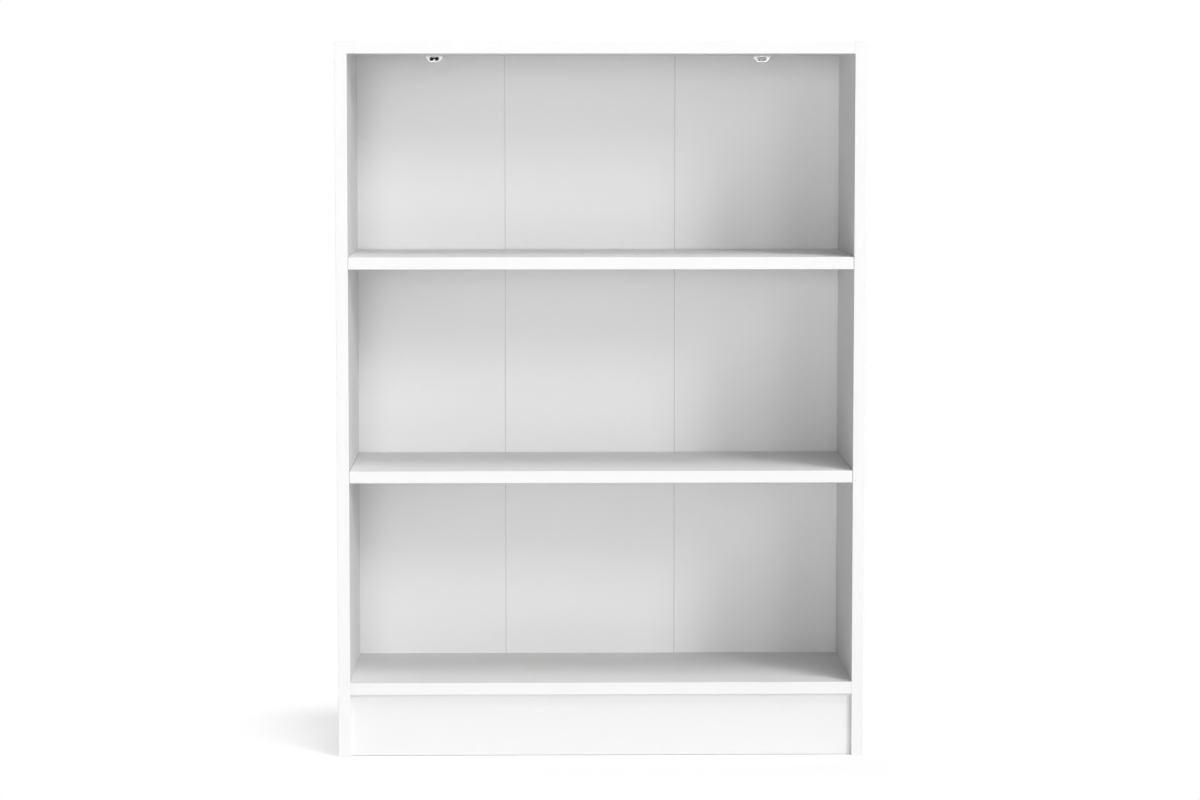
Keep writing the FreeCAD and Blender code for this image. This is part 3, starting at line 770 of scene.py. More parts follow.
class Workpiece:
    """A mesh object while Blender's operators shape it."""

    def __init__(self, name: str) -> None:
        """Takes over the primitive that an operator has just added, and puts its place into its mesh.

        Args:
            name: The object's name.
        """
        self.thing = bpy.context.object
        self.thing.name = self.thing.data.name = name
        bpy.ops.object.transform_apply(location=True, rotation=True, scale=True)

    @classmethod
    def block(cls, name: str, low: Sequence[float], high: Sequence[float]) -> "Workpiece":
        """Starts from a cube between two corners.

        Args:
            name: The object's name.
            low: The corner with the lowest coordinates.
            high: The corner with the highest coordinates.

        Returns:
            The new piece.
        """
        low, high = Vector(low), Vector(high)
        bpy.ops.object.select_all(action="DESELECT")
        bpy.ops.mesh.primitive_cube_add(size=1.0, location=(low + high) / 2, scale=high - low)
        return cls(name)

    @classmethod
    def turned(cls, name: str, axis: Axis, profile: Profile, sides: int) -> "Workpiece":
        """Starts from a cone and draws its end out step by step, as on a lathe.

        Args:
            name: The object's name.
            axis: The axis of the lathe, through the origin.
            profile: Places along the axis, in order, each with its radius.
            sides: The number of sides.

        Returns:
            The new piece.
        """
        (start, first), (end, radius) = profile[:2]
        bpy.ops.object.select_all(action="DESELECT")
        bpy.ops.mesh.primitive_cone_add(
            vertices=sides, radius1=first, radius2=radius, depth=end - start,
            location=axis.vector * ((start + end) / 2), rotation=axis.turn,
        )
        piece = cls(name)
        piece.pick_faces(lambda middle, normal: normal.dot(axis.vector) > FACING)
        for place, next_radius in profile[2:]:
            factor = [1.0 if part else next_radius / radius for part in axis.value]
            piece.extrude(axis.vector * (place - end))
            piece.resize(factor, axis.vector * place)
            end, radius = place, next_radius
        return piece

    @classmethod
    def rod(cls, name: str, axis: Axis, ends: tuple[float, float], radius: float, sides: int) -> "Workpiece":
        """Starts from a rod of one radius between two places on an axis through the origin."""
        return cls.turned(name, axis, [(end, radius) for end in ends], sides)

    @contextmanager
    def editing(self) -> Iterator[None]:
        """Edit mode on this piece alone."""
        self.focus()
        bpy.ops.object.mode_set(mode="EDIT")
        yield
        bpy.ops.object.mode_set(mode="OBJECT")

    def focus(self) -> None:
        """Selects this piece alone."""
        bpy.ops.object.select_all(action="DESELECT")
        self.thing.select_set(True)
        bpy.context.view_layer.objects.active = self.thing

    def _unpick(self, element: Element) -> None:
        """Clears the selection.

        Args:
            element: What is selected next.
        """
        with self.editing():
            bpy.ops.mesh.select_mode(type=element.value)
            bpy.ops.mesh.select_all(action="DESELECT")

    def pick_faces(self, wanted: Pick) -> None:
        """Selects faces.

        Args:
            wanted: True for a face to select, by its middle and normal.
        """
        self._unpick(Element.FACE)
        for face in self.thing.data.polygons:
            face.select = wanted(face.center, face.normal)

    def pick_edges(self, wanted: Pick) -> None:
        """Selects edges.

        Args:
            wanted: True for an edge to select, by its middle and direction.
        """
        self._unpick(Element.EDGE)
        points = self.thing.data.vertices
        for edge in self.thing.data.edges:
            first, last = (points[index].co for index in edge.vertices)
            edge.select = wanted((first + last) / 2, (last - first).normalized())

    def pick_points(self, wanted: Callable[[Vector], bool]) -> None:
        """Selects points.

        Args:
            wanted: True for a point to select, by its place.
        """
        self._unpick(Element.POINT)
        for point in self.thing.data.vertices:
            point.select = wanted(point.co)

    def extrude(self, by: Sequence[float]) -> None:
        """Extrudes the selected faces."""
        with self.editing():
            bpy.ops.mesh.extrude_region_move(TRANSFORM_OT_translate={"value": by})

    def move(self, by: Sequence[float]) -> None:
        """Moves what is selected."""
        with self.editing():
            bpy.ops.transform.translate(value=by)

    def move_all(self, by: Sequence[float]) -> None:
        """Moves the whole piece."""
        self.pick_points(lambda point: True)
        self.move(by)

    def resize(self, factor: Sequence[float], centre: Sequence[float]) -> None:
        """Scales what is selected about a point."""
        with self.editing():
            bpy.ops.transform.resize(value=factor, center_override=centre)

    def sink(self, rim: float, depth: float) -> None:
        """Insets each selected face by a rim and sinks it."""
        with self.editing():
            bpy.ops.mesh.inset(thickness=rim, depth=-depth, use_individual=True)

    def round(self, width: float, segments: int) -> None:
        """Bevels the selected edges."""
        with self.editing():
            bpy.ops.mesh.bevel(offset=width, segments=segments, affect="EDGES")

    def cut(self, place: Sequence[float], normal: Sequence[float], keep_both: bool = False) -> None:
        """Bisects the piece.

        Args:
            place: A point of the plane.
            normal: The normal of the plane.
            keep_both: Keeps both halves joined, where otherwise what lies behind the plane is kept, closed.
        """
        with self.editing():
            bpy.ops.mesh.select_all(action="SELECT")
            bpy.ops.mesh.bisect(
                plane_co=place, plane_no=normal, threshold=MERGE,
                clear_outer=not keep_both, use_fill=not keep_both,
            )

    def apply(self, modifier: bpy.types.Modifier) -> None:
        """Applies a modifier."""
        self.focus()
        bpy.ops.object.modifier_apply(modifier=modifier.name)

    def combine(self, how: Boolean, others: Sequence["Workpiece"]) -> None:
        """Cuts other pieces out of this one, or joins them to it, and uses them up.

        Args:
            how: Whether the others are cut out or joined.
            others: The other pieces.
        """
        for other in others:
            modifier = self.thing.modifiers.new(how.name.lower(), "BOOLEAN")
            modifier.operation, modifier.solver, modifier.object = how.value, "EXACT", other.thing
            self.apply(modifier)
            other.discard()

    def soften(self, width: float, segments: int, sharper_than: float = 40.0) -> None:
        """Rounds every sharp edge.

        Args:
            width: The width of the rounding.
            segments: The number of its facets.
            sharper_than: The angle in degrees from which an edge is sharp.
        """
        modifier = self.thing.modifiers.new("soften", "BEVEL")
        modifier.width, modifier.segments = width, segments
        modifier.limit_method, modifier.angle_limit = "ANGLE", math.radians(sharper_than)
        self.apply(modifier)

    def close(self) -> None:
        """Merges doubled points and turns all faces outwards."""
        with self.editing():
            bpy.ops.mesh.select_all(action="SELECT")
            bpy.ops.mesh.remove_doubles(threshold=MERGE)
            bpy.ops.mesh.normals_make_consistent(inside=False)

    def finished(self, finish: Finish, smooth_below: float = 35.0) -> "Workpiece":
        """Closes the piece, smooths its shading and gives it its finish.

        Args:
            finish: The finish.
            smooth_below: The angle in degrees up to which an edge is shaded smooth.

        Returns:
            The piece itself.
        """
        self.close()
        self.focus()
        bpy.ops.object.shade_smooth_by_angle(angle=math.radians(smooth_below))
        self.thing.data.materials.clear()
        self.thing.data.materials.append(finish.material())
        return self

    def discard(self) -> None:
        """Removes the piece."""
        bpy.data.meshes.remove(self.thing.data)


@dataclass(frozen=True)
class Stand:
    """Where a fitting or a cutter stands: its origin, and where its own X and Z point."""

    origin: Triple
    x_axis: Vector
    z_axis: Vector

    @property
    def matrix(self) -> Matrix:
        """The stand as a matrix."""
        columns = Matrix((self.x_axis, self.z_axis.cross(self.x_axis), self.z_axis)).transposed().to_4x4()
        return Matrix.Translation(self.origin) @ columns


def set_out(master: Workpiece, node: str, stands: Sequence[Stand]) -> None:
    """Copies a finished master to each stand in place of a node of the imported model, and uses it up.

    Args:
        master: The finished piece, drawn at the origin.
        node: The node that the copies replace.
        stands: Where the copies go, all of them on the case.
    """
    for count, stand in enumerate(stands, 1):
        name = f"{node}_{count}" if len(stands) > 1 else f"{node}_detail"
        mesh = master.thing.data.copy()
        mesh.name = name
        mesh.transform(stand.matrix)
        piece = bpy.data.objects.new(name, mesh)
        bpy.context.scene.collection.objects.link(piece)
        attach(piece, "case")
        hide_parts(node)
        LOG.info("modelled %s: %d faces", name, len(mesh.polygons))
    master.discard()


@dataclass(frozen=True)
class Cross:
    """A screwdriver's cross, narrower at its floor."""

    length: float
    width: float
    depth: float
    taper: float = 0.72

    def cutters(self, stand: Stand) -> list[Workpiece]:
        """Cutters for the two arms of the cross.

        Args:
            stand: The middle of the cross on the face that it is sunk in, with Z out of that face.

        Returns:
            Two cutters.
        """
        arms = []
        sizes = (self.length / 2, self.width / 2)
        for half_x, half_y in (sizes, sizes[::-1]):
            arm = Workpiece.block("cross_arm", (-half_x, -half_y, -self.depth), (half_x, half_y, self.depth))
            arm.pick_faces(lambda middle, normal: normal.z < -FACING)
            arm.resize((self.taper, self.taper, 1.0), (0.0, 0.0, -self.depth))
            arm.thing.data.transform(stand.matrix)
            arms.append(arm)
        return arms


@dataclass(frozen=True)
class Thread:
    """The thread of a bolt or a screw along X or Z, with its root inside the core."""

    axis: Axis
    start: float
    length: float
    core: float
    crest: float
    pitch_to_depth: float = 2.4
    root_to_depth: float = 0.25
    steps: int = 24

    def ridge(self) -> Workpiece:
        """Winds a small triangle into the ridge of the thread.

        Returns:
            The ridge, closed at both ends.
        """
        depth = self.crest - self.core
        pitch = self.pitch_to_depth * depth
        root = self.core - self.root_to_depth * depth
        height = self.crest - root
        middle = Vector((0.0, root + height / 3, 0.0)) + self.axis.vector * (self.start + pitch / 2)
        tilt = 0.0 if self.axis is Axis.X else math.pi / 2
        bpy.ops.object.select_all(action="DESELECT")
        bpy.ops.mesh.primitive_circle_add(
            vertices=TRIANGLE, radius=2 * height / 3, location=middle, rotation=(0.0, tilt, 0.0)
        )
        ridge = Workpiece("thread")
        winding = ridge.thing.modifiers.new("winding", "SCREW")
        winding.axis, winding.angle = self.axis.name, 2 * math.pi
        winding.iterations, winding.screw_offset = max(1, int(self.length / pitch)), pitch
        winding.steps = winding.render_steps = self.steps
        ridge.apply(winding)
        with ridge.editing():
            bpy.ops.mesh.select_all(action="SELECT")
            bpy.ops.mesh.fill_holes(sides=0)
        ridge.close()
        return ridge

    def wound_round(self, name: str, profile: Profile, sides: int) -> Workpiece:
        """Turns a bolt or a screw and winds the thread round it.

        Args:
            name: The object's name.
            profile: Places along the axis, in order, each with its radius, in metres.
            sides: The number of sides.

        Returns:
            The new piece.
        """
        piece = Workpiece.turned(name, self.axis, profile, sides)
        piece.close()
        piece.combine(Boolean.JOIN, [self.ridge()])
        return piece


@dataclass(frozen=True)
class Case:
    """The planes of the case that the fittings are set out from."""

    inner: float
    top_under: float
    top_middle: float
    bottom_under: float
    bottom_middle: float
    plinth_rear: float
    plinth_middle: float

    @classmethod
    def of_frame(cls) -> "Case":
        """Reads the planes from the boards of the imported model.

        Returns:
            The planes.
        """
        x, y, z = (axis.index for axis in Axis)
        (top_low, top_high), (bottom_low, bottom_high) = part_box("top_panel"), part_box("bottom_panel")
        plinth_low, plinth_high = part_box("plinth")
        return cls(
            inner=top_high[x],
            top_under=top_low[z],
            top_middle=(top_low[z] + top_high[z]) / 2,
            bottom_under=bottom_low[z],
            bottom_middle=(bottom_low[z] + bottom_high[z]) / 2,
            plinth_rear=plinth_high[y],
            plinth_middle=(plinth_low[y] + plinth_high[y]) / 2,
        )

    def at_both_ends(self, places: Sequence[tuple[float, float]]) -> list[Stand]:
        """Stands at both sides' inner faces, pointing into the case.

        Args:
            places: Places of Y and Z.

        Returns:
            A stand at each place on the left, then on the right.
        """
        return [
            Stand((hand.value * self.inner, y, z), Axis.X.vector * -hand.value, Axis.Z.vector)
            for hand in Hand
            for y, z in places
        ]


CASE = Case.of_frame()


@dataclass(frozen=True)
class Carcass:
    """The fixed boards of the case and their edge bands."""

    boards: tuple[tuple[str, Axis, Triple], ...] = (
        # The sides, the top and the bottom take the dimmed white, which is painted shade; the plinth takes
        # the full white.
        ("left_side", Axis.X, SHADE_DIMMED_WHITE),
        ("right_side", Axis.X, SHADE_DIMMED_WHITE),
        ("top_panel", Axis.Z, SHADE_DIMMED_WHITE),
        ("bottom_panel", Axis.Z, SHADE_DIMMED_WHITE),
        ("plinth", Axis.Y, BRIGHT_WHITE),
    )
    bands: tuple[str, ...] = (
        "left_side_front_edging",
        "right_side_front_edging",
        "left_side_top_edging",
        "right_side_top_edging",
        "top_panel_edging",
        "bottom_panel_edging",
    )

    def build(self) -> None:
        """Dresses the boards and the bands."""
        for node, axis, white in self.boards:
            dress(node, Board.of_node(node, axis, white))
        for node in self.bands:
            dress(node, EdgeBand.of_node(node))


@dataclass(frozen=True)
class LooseShelf:
    """A shelf that lies on four pins, with its edge band."""

    name: str

    def build(self) -> None:
        """Dresses the shelf and its band."""
        # The shelf takes the dimmed white, which is painted shade.
        dress(self.name, Board.of_node(self.name, Axis.Z, SHADE_DIMMED_WHITE))
        dress(self.name + "_edging", EdgeBand.of_node(self.name + "_edging"))


@dataclass(frozen=True)
class FoldingBack:
    """The three leaves of the back and the tapes across its folds."""

    leaves: tuple[str, ...] = ("back_leaf_left", "back_leaf_centre", "back_leaf_right")
    tapes: tuple[str, ...] = ("back_hinge_tape_left", "back_hinge_tape_right")

    def build(self) -> None:
        """Dresses the leaves and the tapes."""
        for node in self.leaves:
            dress(node, BackLeaf(node + "_lacquer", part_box(node)[0][Axis.Y.index]))
        for node in self.tapes:
            dress(node, PAPER_TAPE)


@dataclass(frozen=True)
class CamLocks:
    """The cam locks of one board: eccentric nuts in its face, and the bolts that they draw in.

    A nut is drawn with its face near Z = 0 and its bolt from +X, and a bolt along X from the side at X = 0.
    The bolt's profile is in millimetres.
    """

    board: str
    nut_places: tuple[tuple[float, float], ...]
    bolt_places: tuple[tuple[float, float], ...]
    outward: Vector
    setback: float = 34.0 * MM
    sunk: float = 0.2 * MM
    radius: float = 7.4 * MM
    sides: int = 76
    height: float = 13.0 * MM
    rim: float = 0.4 * MM
    pocket_radius: float = 5.0 * MM
    pocket_sides: int = 64
    pocket_offset: float = 1.0 * MM
    crown: float = 4.8 * MM
    middle: float = -9.0 * MM
    slot_height: float = 5.0 * MM
    slot_start: float = math.radians(-40.0)
    window: float = 7.6 * MM
    cross: Cross = Cross(length=6.4 * MM, width=1.3 * MM, depth=2.4 * MM)
    arrow_size: float = 1.1 * MM
    arrow_place: float = 5.2 * MM
    arrow_depth: float = 0.4 * MM
    bolt_profile: Profile = (
        (-11.0, 0.9), (-9.9, 1.75), (0.0, 1.75), (0.0, 3.1), (0.4, 3.5), (21.5, 3.5), (22.0, 3.1),
        (22.0, 2.2), (30.1, 2.2), (31.4, 3.2), (32.2, 3.2), (32.5, 3.05), (32.6, 2.7),
    )
    bolt_sides: int = 40
    bolt_thread: Thread = Thread(
        Axis.X, start=-10.4 * MM, length=9.8 * MM, core=1.75 * MM, crest=2.45 * MM
    )
    bolt_cross: Cross = Cross(length=2.8 * MM, width=0.8 * MM, depth=1.0 * MM)

    def build(self) -> None:
        """Models the nuts and the bolts of this board."""
        stands = [
            Stand((hand.value * (CASE.inner - self.setback), y, z), Axis.X.vector * hand.value, self.outward)
            for hand in Hand
            for y, z in self.nut_places
        ]
        set_out(self._nut().finished(CAST_ZINC), self.board + "_cam_nuts", stands)
        stands = CASE.at_both_ends(self.bolt_places)
        set_out(self._bolt().finished(PLATED_STEEL), self.board + "_cam_bolts", stands)

    def _nut(self) -> Workpiece:
        """A nut with an eccentric pocket, a slot for the neck of the bolt and a cross in its face.

        Returns:
            The nut.
        """
        floor, face = -self.sunk - self.height, -self.sunk
        profile = (
            (floor, self.radius - self.rim), (floor + self.rim, self.radius),
            (face - self.rim, self.radius), (face, self.radius - self.rim),
        )
        nut = Workpiece.turned("cam_nut", Axis.Z, profile, self.sides)
        nut.combine(Boolean.CUT, self._hollows(floor))
        cross = self.cross.cutters(Stand((0.0, 0.0, face), Axis.X.vector, Axis.Z.vector))
        nut.combine(Boolean.CUT, cross + [self._arrow(face)])
        return nut

    def _hollows(self, floor: float) -> list[Workpiece]:
        """Cutters for the pocket, the slot that the neck enters and the window behind the head.

        Args:
            floor: The height of the nut's floor.

        Returns:
            Three cutters.
        """
        roof = floor + self.height - self.crown
        below, reach = floor - self.rim, self.radius + self.rim
        pocket = Workpiece.rod("pocket", Axis.Z, (below, roof), self.pocket_radius, self.pocket_sides)
        pocket.move_all((-self.pocket_offset, 0.0, 0.0))
        low, high = self.middle - self.slot_height / 2, self.middle + self.slot_height / 2
        slot = Workpiece.rod("slot", Axis.Z, (low, high), reach, self.sides)
        taller = (low - self.rim, high + self.rim)
        wedge = Workpiece.rod("wedge", Axis.Z, taller, reach + self.rim, self.sides)
        for angle in (self.slot_start, 0.0):
            wedge.cut((0.0, 0.0, 0.0), (-math.sin(angle), math.cos(angle), 0.0))
        slot.combine(Boolean.CUT, [wedge])
        half = self.window / 2
        corners = (-reach, -half, self.middle - half), (0.0, half, self.middle + half)
        return [pocket, slot, Workpiece.block("window", *corners)]

    def _arrow(self, face: float) -> Workpiece:
        """A cutter for the arrow that points at the bolt when the lock is open.

        Args:
            face: The height of the nut's face.

        Returns:
            The cutter.
        """
        depths = (face - self.arrow_depth, face + self.arrow_depth)
        arrow = Workpiece.rod("arrow", Axis.Z, depths, self.arrow_size, TRIANGLE)
        with arrow.editing():
            bpy.ops.mesh.select_all(action="SELECT")
            bpy.ops.transform.rotate(value=math.pi / 2, orient_axis="Z", center_override=(0.0, 0.0, 0.0))
        arrow.move_all((self.arrow_place, 0.0, 0.0))
        return arrow

    def _bolt(self) -> Workpiece:
        """A bolt with a thread for the side, a thick shank, a neck and a cone head with a cross.

        Returns:
            The bolt.
        """
        profile = in_metres(self.bolt_profile)
        bolt = self.bolt_thread.wound_round("cam_bolt", profile, self.bolt_sides)
        head = Stand((profile[-1][0], 0.0, 0.0), -Axis.Z.vector, Axis.X.vector)
        bolt.combine(Boolean.CUT, self.bolt_cross.cutters(head))
        return bolt


@dataclass(frozen=True)
class Dowels:
    """The fluted wooden dowels at both ends of one board, drawn along X from the side at X = 0."""

    board: str
    places: tuple[tuple[float, float], ...]
    radius: float = 3.95 * MM
    start: float = -11.0 * MM
    end: float = 23.0 * MM
    chamfer: float = 1.2 * MM
    sides: int = 60
    every: int = 3
    flute_rim: float = 0.08 * MM
    flute_depth: float = 0.28 * MM
    smooth_below: float = 25.0

    def build(self) -> None:
        """Models the dowels of this board."""
        tip = self.radius - self.chamfer
        profile = (
            (self.start, tip), (self.start + self.chamfer, self.radius),
            (self.end - self.chamfer, self.radius), (self.end, tip),
        )
        dowel = Workpiece.turned("dowel", Axis.X, profile, self.sides)
        dowel.pick_faces(self._is_flute)
        dowel.sink(self.flute_rim, self.flute_depth)
        dowel.finished(BEECH, self.smooth_below)
        set_out(dowel, self.board + "_dowels", CASE.at_both_ends(self.places))

    def _is_flute(self, middle: Vector, normal: Vector) -> bool:
        """True for the faces of the round side that become flutes."""
        step = math.floor(math.atan2(normal.z, normal.y) / (2 * math.pi / self.sides))
        return abs(normal.x) < 1.0 - FACING and step % self.every == 0


@dataclass(frozen=True)
class BoardJoints:
    """The cam locks and dowels that hold the top, the bottom and the plinth between the sides."""

    cam_rows: tuple[float, float] = (-90.0 * MM, 78.0 * MM)
    dowel_rows: tuple[float, float] = (-58.0 * MM, 46.0 * MM)
    plinth_cam: float = 62.0 * MM
    plinth_dowel: float = 30.0 * MM

    def build(self) -> None:
        """Models the joints of each board."""
        level_boards = (
            ("top", CASE.top_under, CASE.top_middle),
            ("bottom", CASE.bottom_under, CASE.bottom_middle),
        )
        for board, face, middle in level_boards:
            nuts, bolts = (tuple((y, plane) for y in self.cam_rows) for plane in (face, middle))
            CamLocks(board, nuts, bolts, -Axis.Z.vector).build()
            Dowels(board, tuple((y, middle) for y in self.dowel_rows)).build()
        nut, bolt = (CASE.plinth_rear, self.plinth_cam), (CASE.plinth_middle, self.plinth_cam)
        CamLocks("plinth", (nut,), (bolt,), Axis.Y.vector).build()
        Dowels("plinth", ((CASE.plinth_middle, self.plinth_dowel),)).build()


@dataclass(frozen=True)
class ShelfPins:
    """The four pins under one shelf: a grooved peg in the side, flattened to a blade under the shelf.

    A pin is drawn along X from the side at X = 0. The peg's profile is in millimetres.
    """

    shelf: str
    rows: tuple[float, float] = (-103.0 * MM, 91.0 * MM)
    drop: float = 0.85 * MM
    blade: Triple = (10.0 * MM, 8.0 * MM, 1.6 * MM)
    root: float = 0.02 * MM
    tip_round: float = 3.0 * MM
    tip_segments: int = 8
    edge_round: float = 0.25 * MM
    edge_segments: int = 2
    peg_profile: Profile = (
        (-8.5, 1.95), (-8.0, 2.45), (-6.8, 2.45), (-6.6, 2.2), (-6.2, 2.2), (-6.0, 2.45), (-4.6, 2.45),
        (-4.4, 2.2), (-4.0, 2.2), (-3.8, 2.45), (0.0, 2.45),
    )
    peg_sides: int = 48

    def build(self) -> None:
        """Models the pins."""
        pin = Workpiece.turned("shelf_pin", Axis.X, in_metres(self.peg_profile), self.peg_sides)
        pin.close()
        pin.combine(Boolean.JOIN, [self._blade()])
        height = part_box(self.shelf)[0][Axis.Z.index] - self.drop
        stands = CASE.at_both_ends([(y, height) for y in self.rows])
        set_out(pin.finished(PLATED_STEEL), self.shelf + "_pins", stands)

    def _blade(self) -> Workpiece:
        """A flat blade with a round tip.

        Returns:
            The blade.
        """
        length, width, thickness = self.blade
        low, high = (-self.root, -width / 2, -thickness / 2), (length, width / 2, thickness / 2)
        blade = Workpiece.block("blade", low, high)
        blade.pick_edges(lambda middle, direction: abs(direction.z) > FACING and middle.x > length / 2)
        blade.round(self.tip_round, self.tip_segments)
        blade.soften(self.edge_round, self.edge_segments)
        return blade


@dataclass(frozen=True)
class WallBracket:
    """A bracket of bent sheet under the top, with the pad behind it.

    Both are drawn about X = 0, with the rear of the bracket at Y = 0 and the underside of the top at Z = 0.
    """

    hand: Hand
    pad_finish: Rubber
    thickness: float = 1.2 * MM
    leg: float = 20.0 * MM
    drop: float = 9.8 * MM
    half_width: float = 15.0 * MM
    half_foot: float = 8.0 * MM
    bend: float = 0.4 * MM
    inner_bend_segments: int = 3
    outer_bend_segments: int = 6
    corner: float = 3.0 * MM
    corner_segments: int = 6
    foot_corner: float = 2.0 * MM
    foot_segments: int = 5
    edge_round: float = 0.15 * MM
    wall_hole_radius: float = 3.0 * MM
    wall_hole_sides: int = 48
    wall_hole_reach: float = 4.1 * MM
    wall_hole_drop: float = 4.7 * MM
    screw_setback: float = 12.0 * MM
    screw_hole: float = 1.7 * MM
    screw_hole_sides: int = 32
    pad_thickness: float = 0.8 * MM
    pad_reach: float = 5.0 * MM
    pad_radius: float = 4.0 * MM
    pad_sides: int = 48
    pad_round: float = 0.12 * MM
    edge_segments: int = 2
    slit: Cross = Cross(length=4.8 * MM, width=0.25 * MM, depth=0.3 * MM)

    def build(self) -> None:
        """Models the bracket and its pad."""
        side = self.hand.name.lower()
        (left, _, _), (right, rear, _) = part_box("wall_bracket_" + side)
        stand = Stand(((left + right) / 2, rear, CASE.top_under), Axis.X.vector, Axis.Z.vector)
        set_out(self._bracket().finished(BRIGHT_STEEL), "wall_bracket_" + side, [stand])
        pad = self._pad().finished(self.pad_finish)
        set_out(pad, "bracket_pad_" + side, [stand])

    def _bracket(self) -> Workpiece:
        """One leg under the top and one down the back, with the holes for its screws.

        Returns:
            The bracket.
        """
        low, high = (-self.half_width, -self.leg, -self.thickness), (self.half_width, 0.0, 0.0)
        bracket = Workpiece.block("bracket", low, high)
        bracket.cut((0.0, -self.thickness, 0.0), Axis.Y.value, keep_both=True)
        bracket.pick_faces(lambda middle, normal: normal.z < -FACING and middle.y > -self.thickness)
        bracket.extrude((0.0, 0.0, self.thickness - self.drop))
        bracket.resize((self.half_foot / self.half_width, 1.0, 1.0), (0.0, 0.0, -self.drop))
        self._round_corners(bracket)
        bracket.combine(Boolean.CUT, self._holes())
        bracket.soften(self.edge_round, self.edge_segments)
        return bracket

    def _round_corners(self, bracket: Workpiece) -> None:
        """Rounds the bend and the corners of the two legs.

        Args:
            bracket: The two legs, with square corners.
        """
        bends = (
            (0.0, self.bend + self.thickness, self.outer_bend_segments),
            (-self.thickness, self.bend, self.inner_bend_segments),
        )
        for plane, width, segments in bends:
            bracket.pick_edges(
                lambda middle, way: abs(way.x) > FACING and near(middle.y, plane) and near(middle.z, plane)
            )
            bracket.round(width, segments)
        bracket.pick_edges(lambda middle, way: abs(way.z) > FACING and near(middle.y, -self.leg))
        bracket.round(self.corner, self.corner_segments)
        bracket.pick_edges(lambda middle, way: abs(way.y) > FACING and near(middle.z, -self.drop))
        bracket.round(self.foot_corner, self.foot_segments)

    def _holes(self) -> list[Workpiece]:
        """Cutters for two wall holes, joined in their upper half, and for the screw up into the top.

        Returns:
            Four cutters.
        """
        depth = (-2 * self.thickness, self.thickness)
        cutters = []
        for hand in Hand:
            hole = Workpiece.rod("wall_hole", Axis.Y, depth, self.wall_hole_radius, self.wall_hole_sides)
            hole.move_all((hand.value * self.wall_hole_reach, 0.0, -self.wall_hole_drop))
            cutters.append(hole)
        low = (-self.wall_hole_reach, depth[0], -self.wall_hole_drop)
        high = (self.wall_hole_reach, depth[1], self.wall_hole_radius - self.wall_hole_drop)
        cutters.append(Workpiece.block("upper_half", low, high))
        hole = Workpiece.rod("screw_hole", Axis.Z, depth, self.screw_hole, self.screw_hole_sides)
        hole.move_all((0.0, -self.screw_setback, 0.0))
        return cutters + [hole]

    def _pad(self) -> Workpiece:
        """A thin pad with round ends, slit crosswise on both faces where a wall screw is pushed through.

        Returns:
            The pad.
        """
        faces = (0.0, self.pad_thickness)
        pad = Workpiece.rod("pad", Axis.Y, faces, self.pad_radius, self.pad_sides)
        for hand in Hand:
            pad.pick_points(lambda point: point.x * hand.value > MERGE)
            pad.move((hand.value * self.pad_reach, 0.0, 0.0))
        pad.move_all((0.0, 0.0, -self.wall_hole_drop))
        pad.soften(self.pad_round, self.edge_segments)
        for hand in Hand:
            for face, outward in zip(faces, (-Axis.Y.vector, Axis.Y.vector)):
                origin = (hand.value * self.wall_hole_reach, face, -self.wall_hole_drop)
                pad.combine(Boolean.CUT, self.slit.cutters(Stand(origin, Axis.X.vector, outward)))
        return pad


@dataclass(frozen=True)
class BracketScrews:
    """The wafer-head screws that hold the brackets up to the top.

    A screw is drawn along Z with its head at Z = 0. Its profile is in millimetres.
    """

    profile: Profile = (
        (0.0, 2.9), (0.11, 3.48), (0.44, 3.96), (0.93, 4.29), (1.5, 4.4), (1.75, 4.4), (1.9, 4.25),
        (1.9, 1.15), (13.9, 1.15), (15.9, 0.2),
    )
    sides: int = 48
    thread: Thread = Thread(Axis.Z, start=2.8 * MM, length=10.6 * MM, core=1.15 * MM, crest=1.6 * MM)
    cross: Cross = Cross(length=3.6 * MM, width=0.9 * MM, depth=1.2 * MM)

    def build(self) -> None:
        """Models the screws of both brackets."""
        profile = in_metres(self.profile)
        head_radius = max(radius for _, radius in profile)
        (_, front, base), (right, rear, _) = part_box("bracket_screws")
        reach, setback = right - head_radius, (front + rear) / 2
        places = [(hand.value * reach, setback, base) for hand in Hand]
        stands = [Stand(place, Axis.X.vector, Axis.Z.vector) for place in places]
        screw = self.thread.wound_round("screw", profile, self.sides)
        head = Stand((0.0, 0.0, 0.0), Axis.X.vector, -Axis.Z.vector)
        screw.combine(Boolean.CUT, self.cross.cutters(head))
        set_out(screw.finished(PLATED_STEEL), "bracket_screws", stands)


@dataclass(frozen=True)
class Lamp:
    """A far soft lamp, so that every bay of the case is lit alike. Its angles are in degrees."""

    name: str
    azimuth: float
    elevation: float
    spread: float
    level: float

    def build(self) -> None:
        """Adds the lamp. A level of 1 lights a white sheet that faces it to full white."""
        side, rise = math.radians(self.azimuth), math.radians(self.elevation)
        away = Vector((math.sin(side) * math.cos(rise), -math.cos(side) * math.cos(rise), math.sin(rise)))
        data = bpy.data.lights.new(self.name, "SUN")
        data.energy = self.level * math.pi
        data.angle = math.radians(self.spread)
        lamp = bpy.data.objects.new(self.name, data)
        lamp.rotation_mode = "QUATERNION"
        lamp.rotation_quaternion = away.to_track_quat("Z", "Y")
        bpy.context.scene.collection.objects.link(lamp)
        LOG.info("lamp %s", self.name)


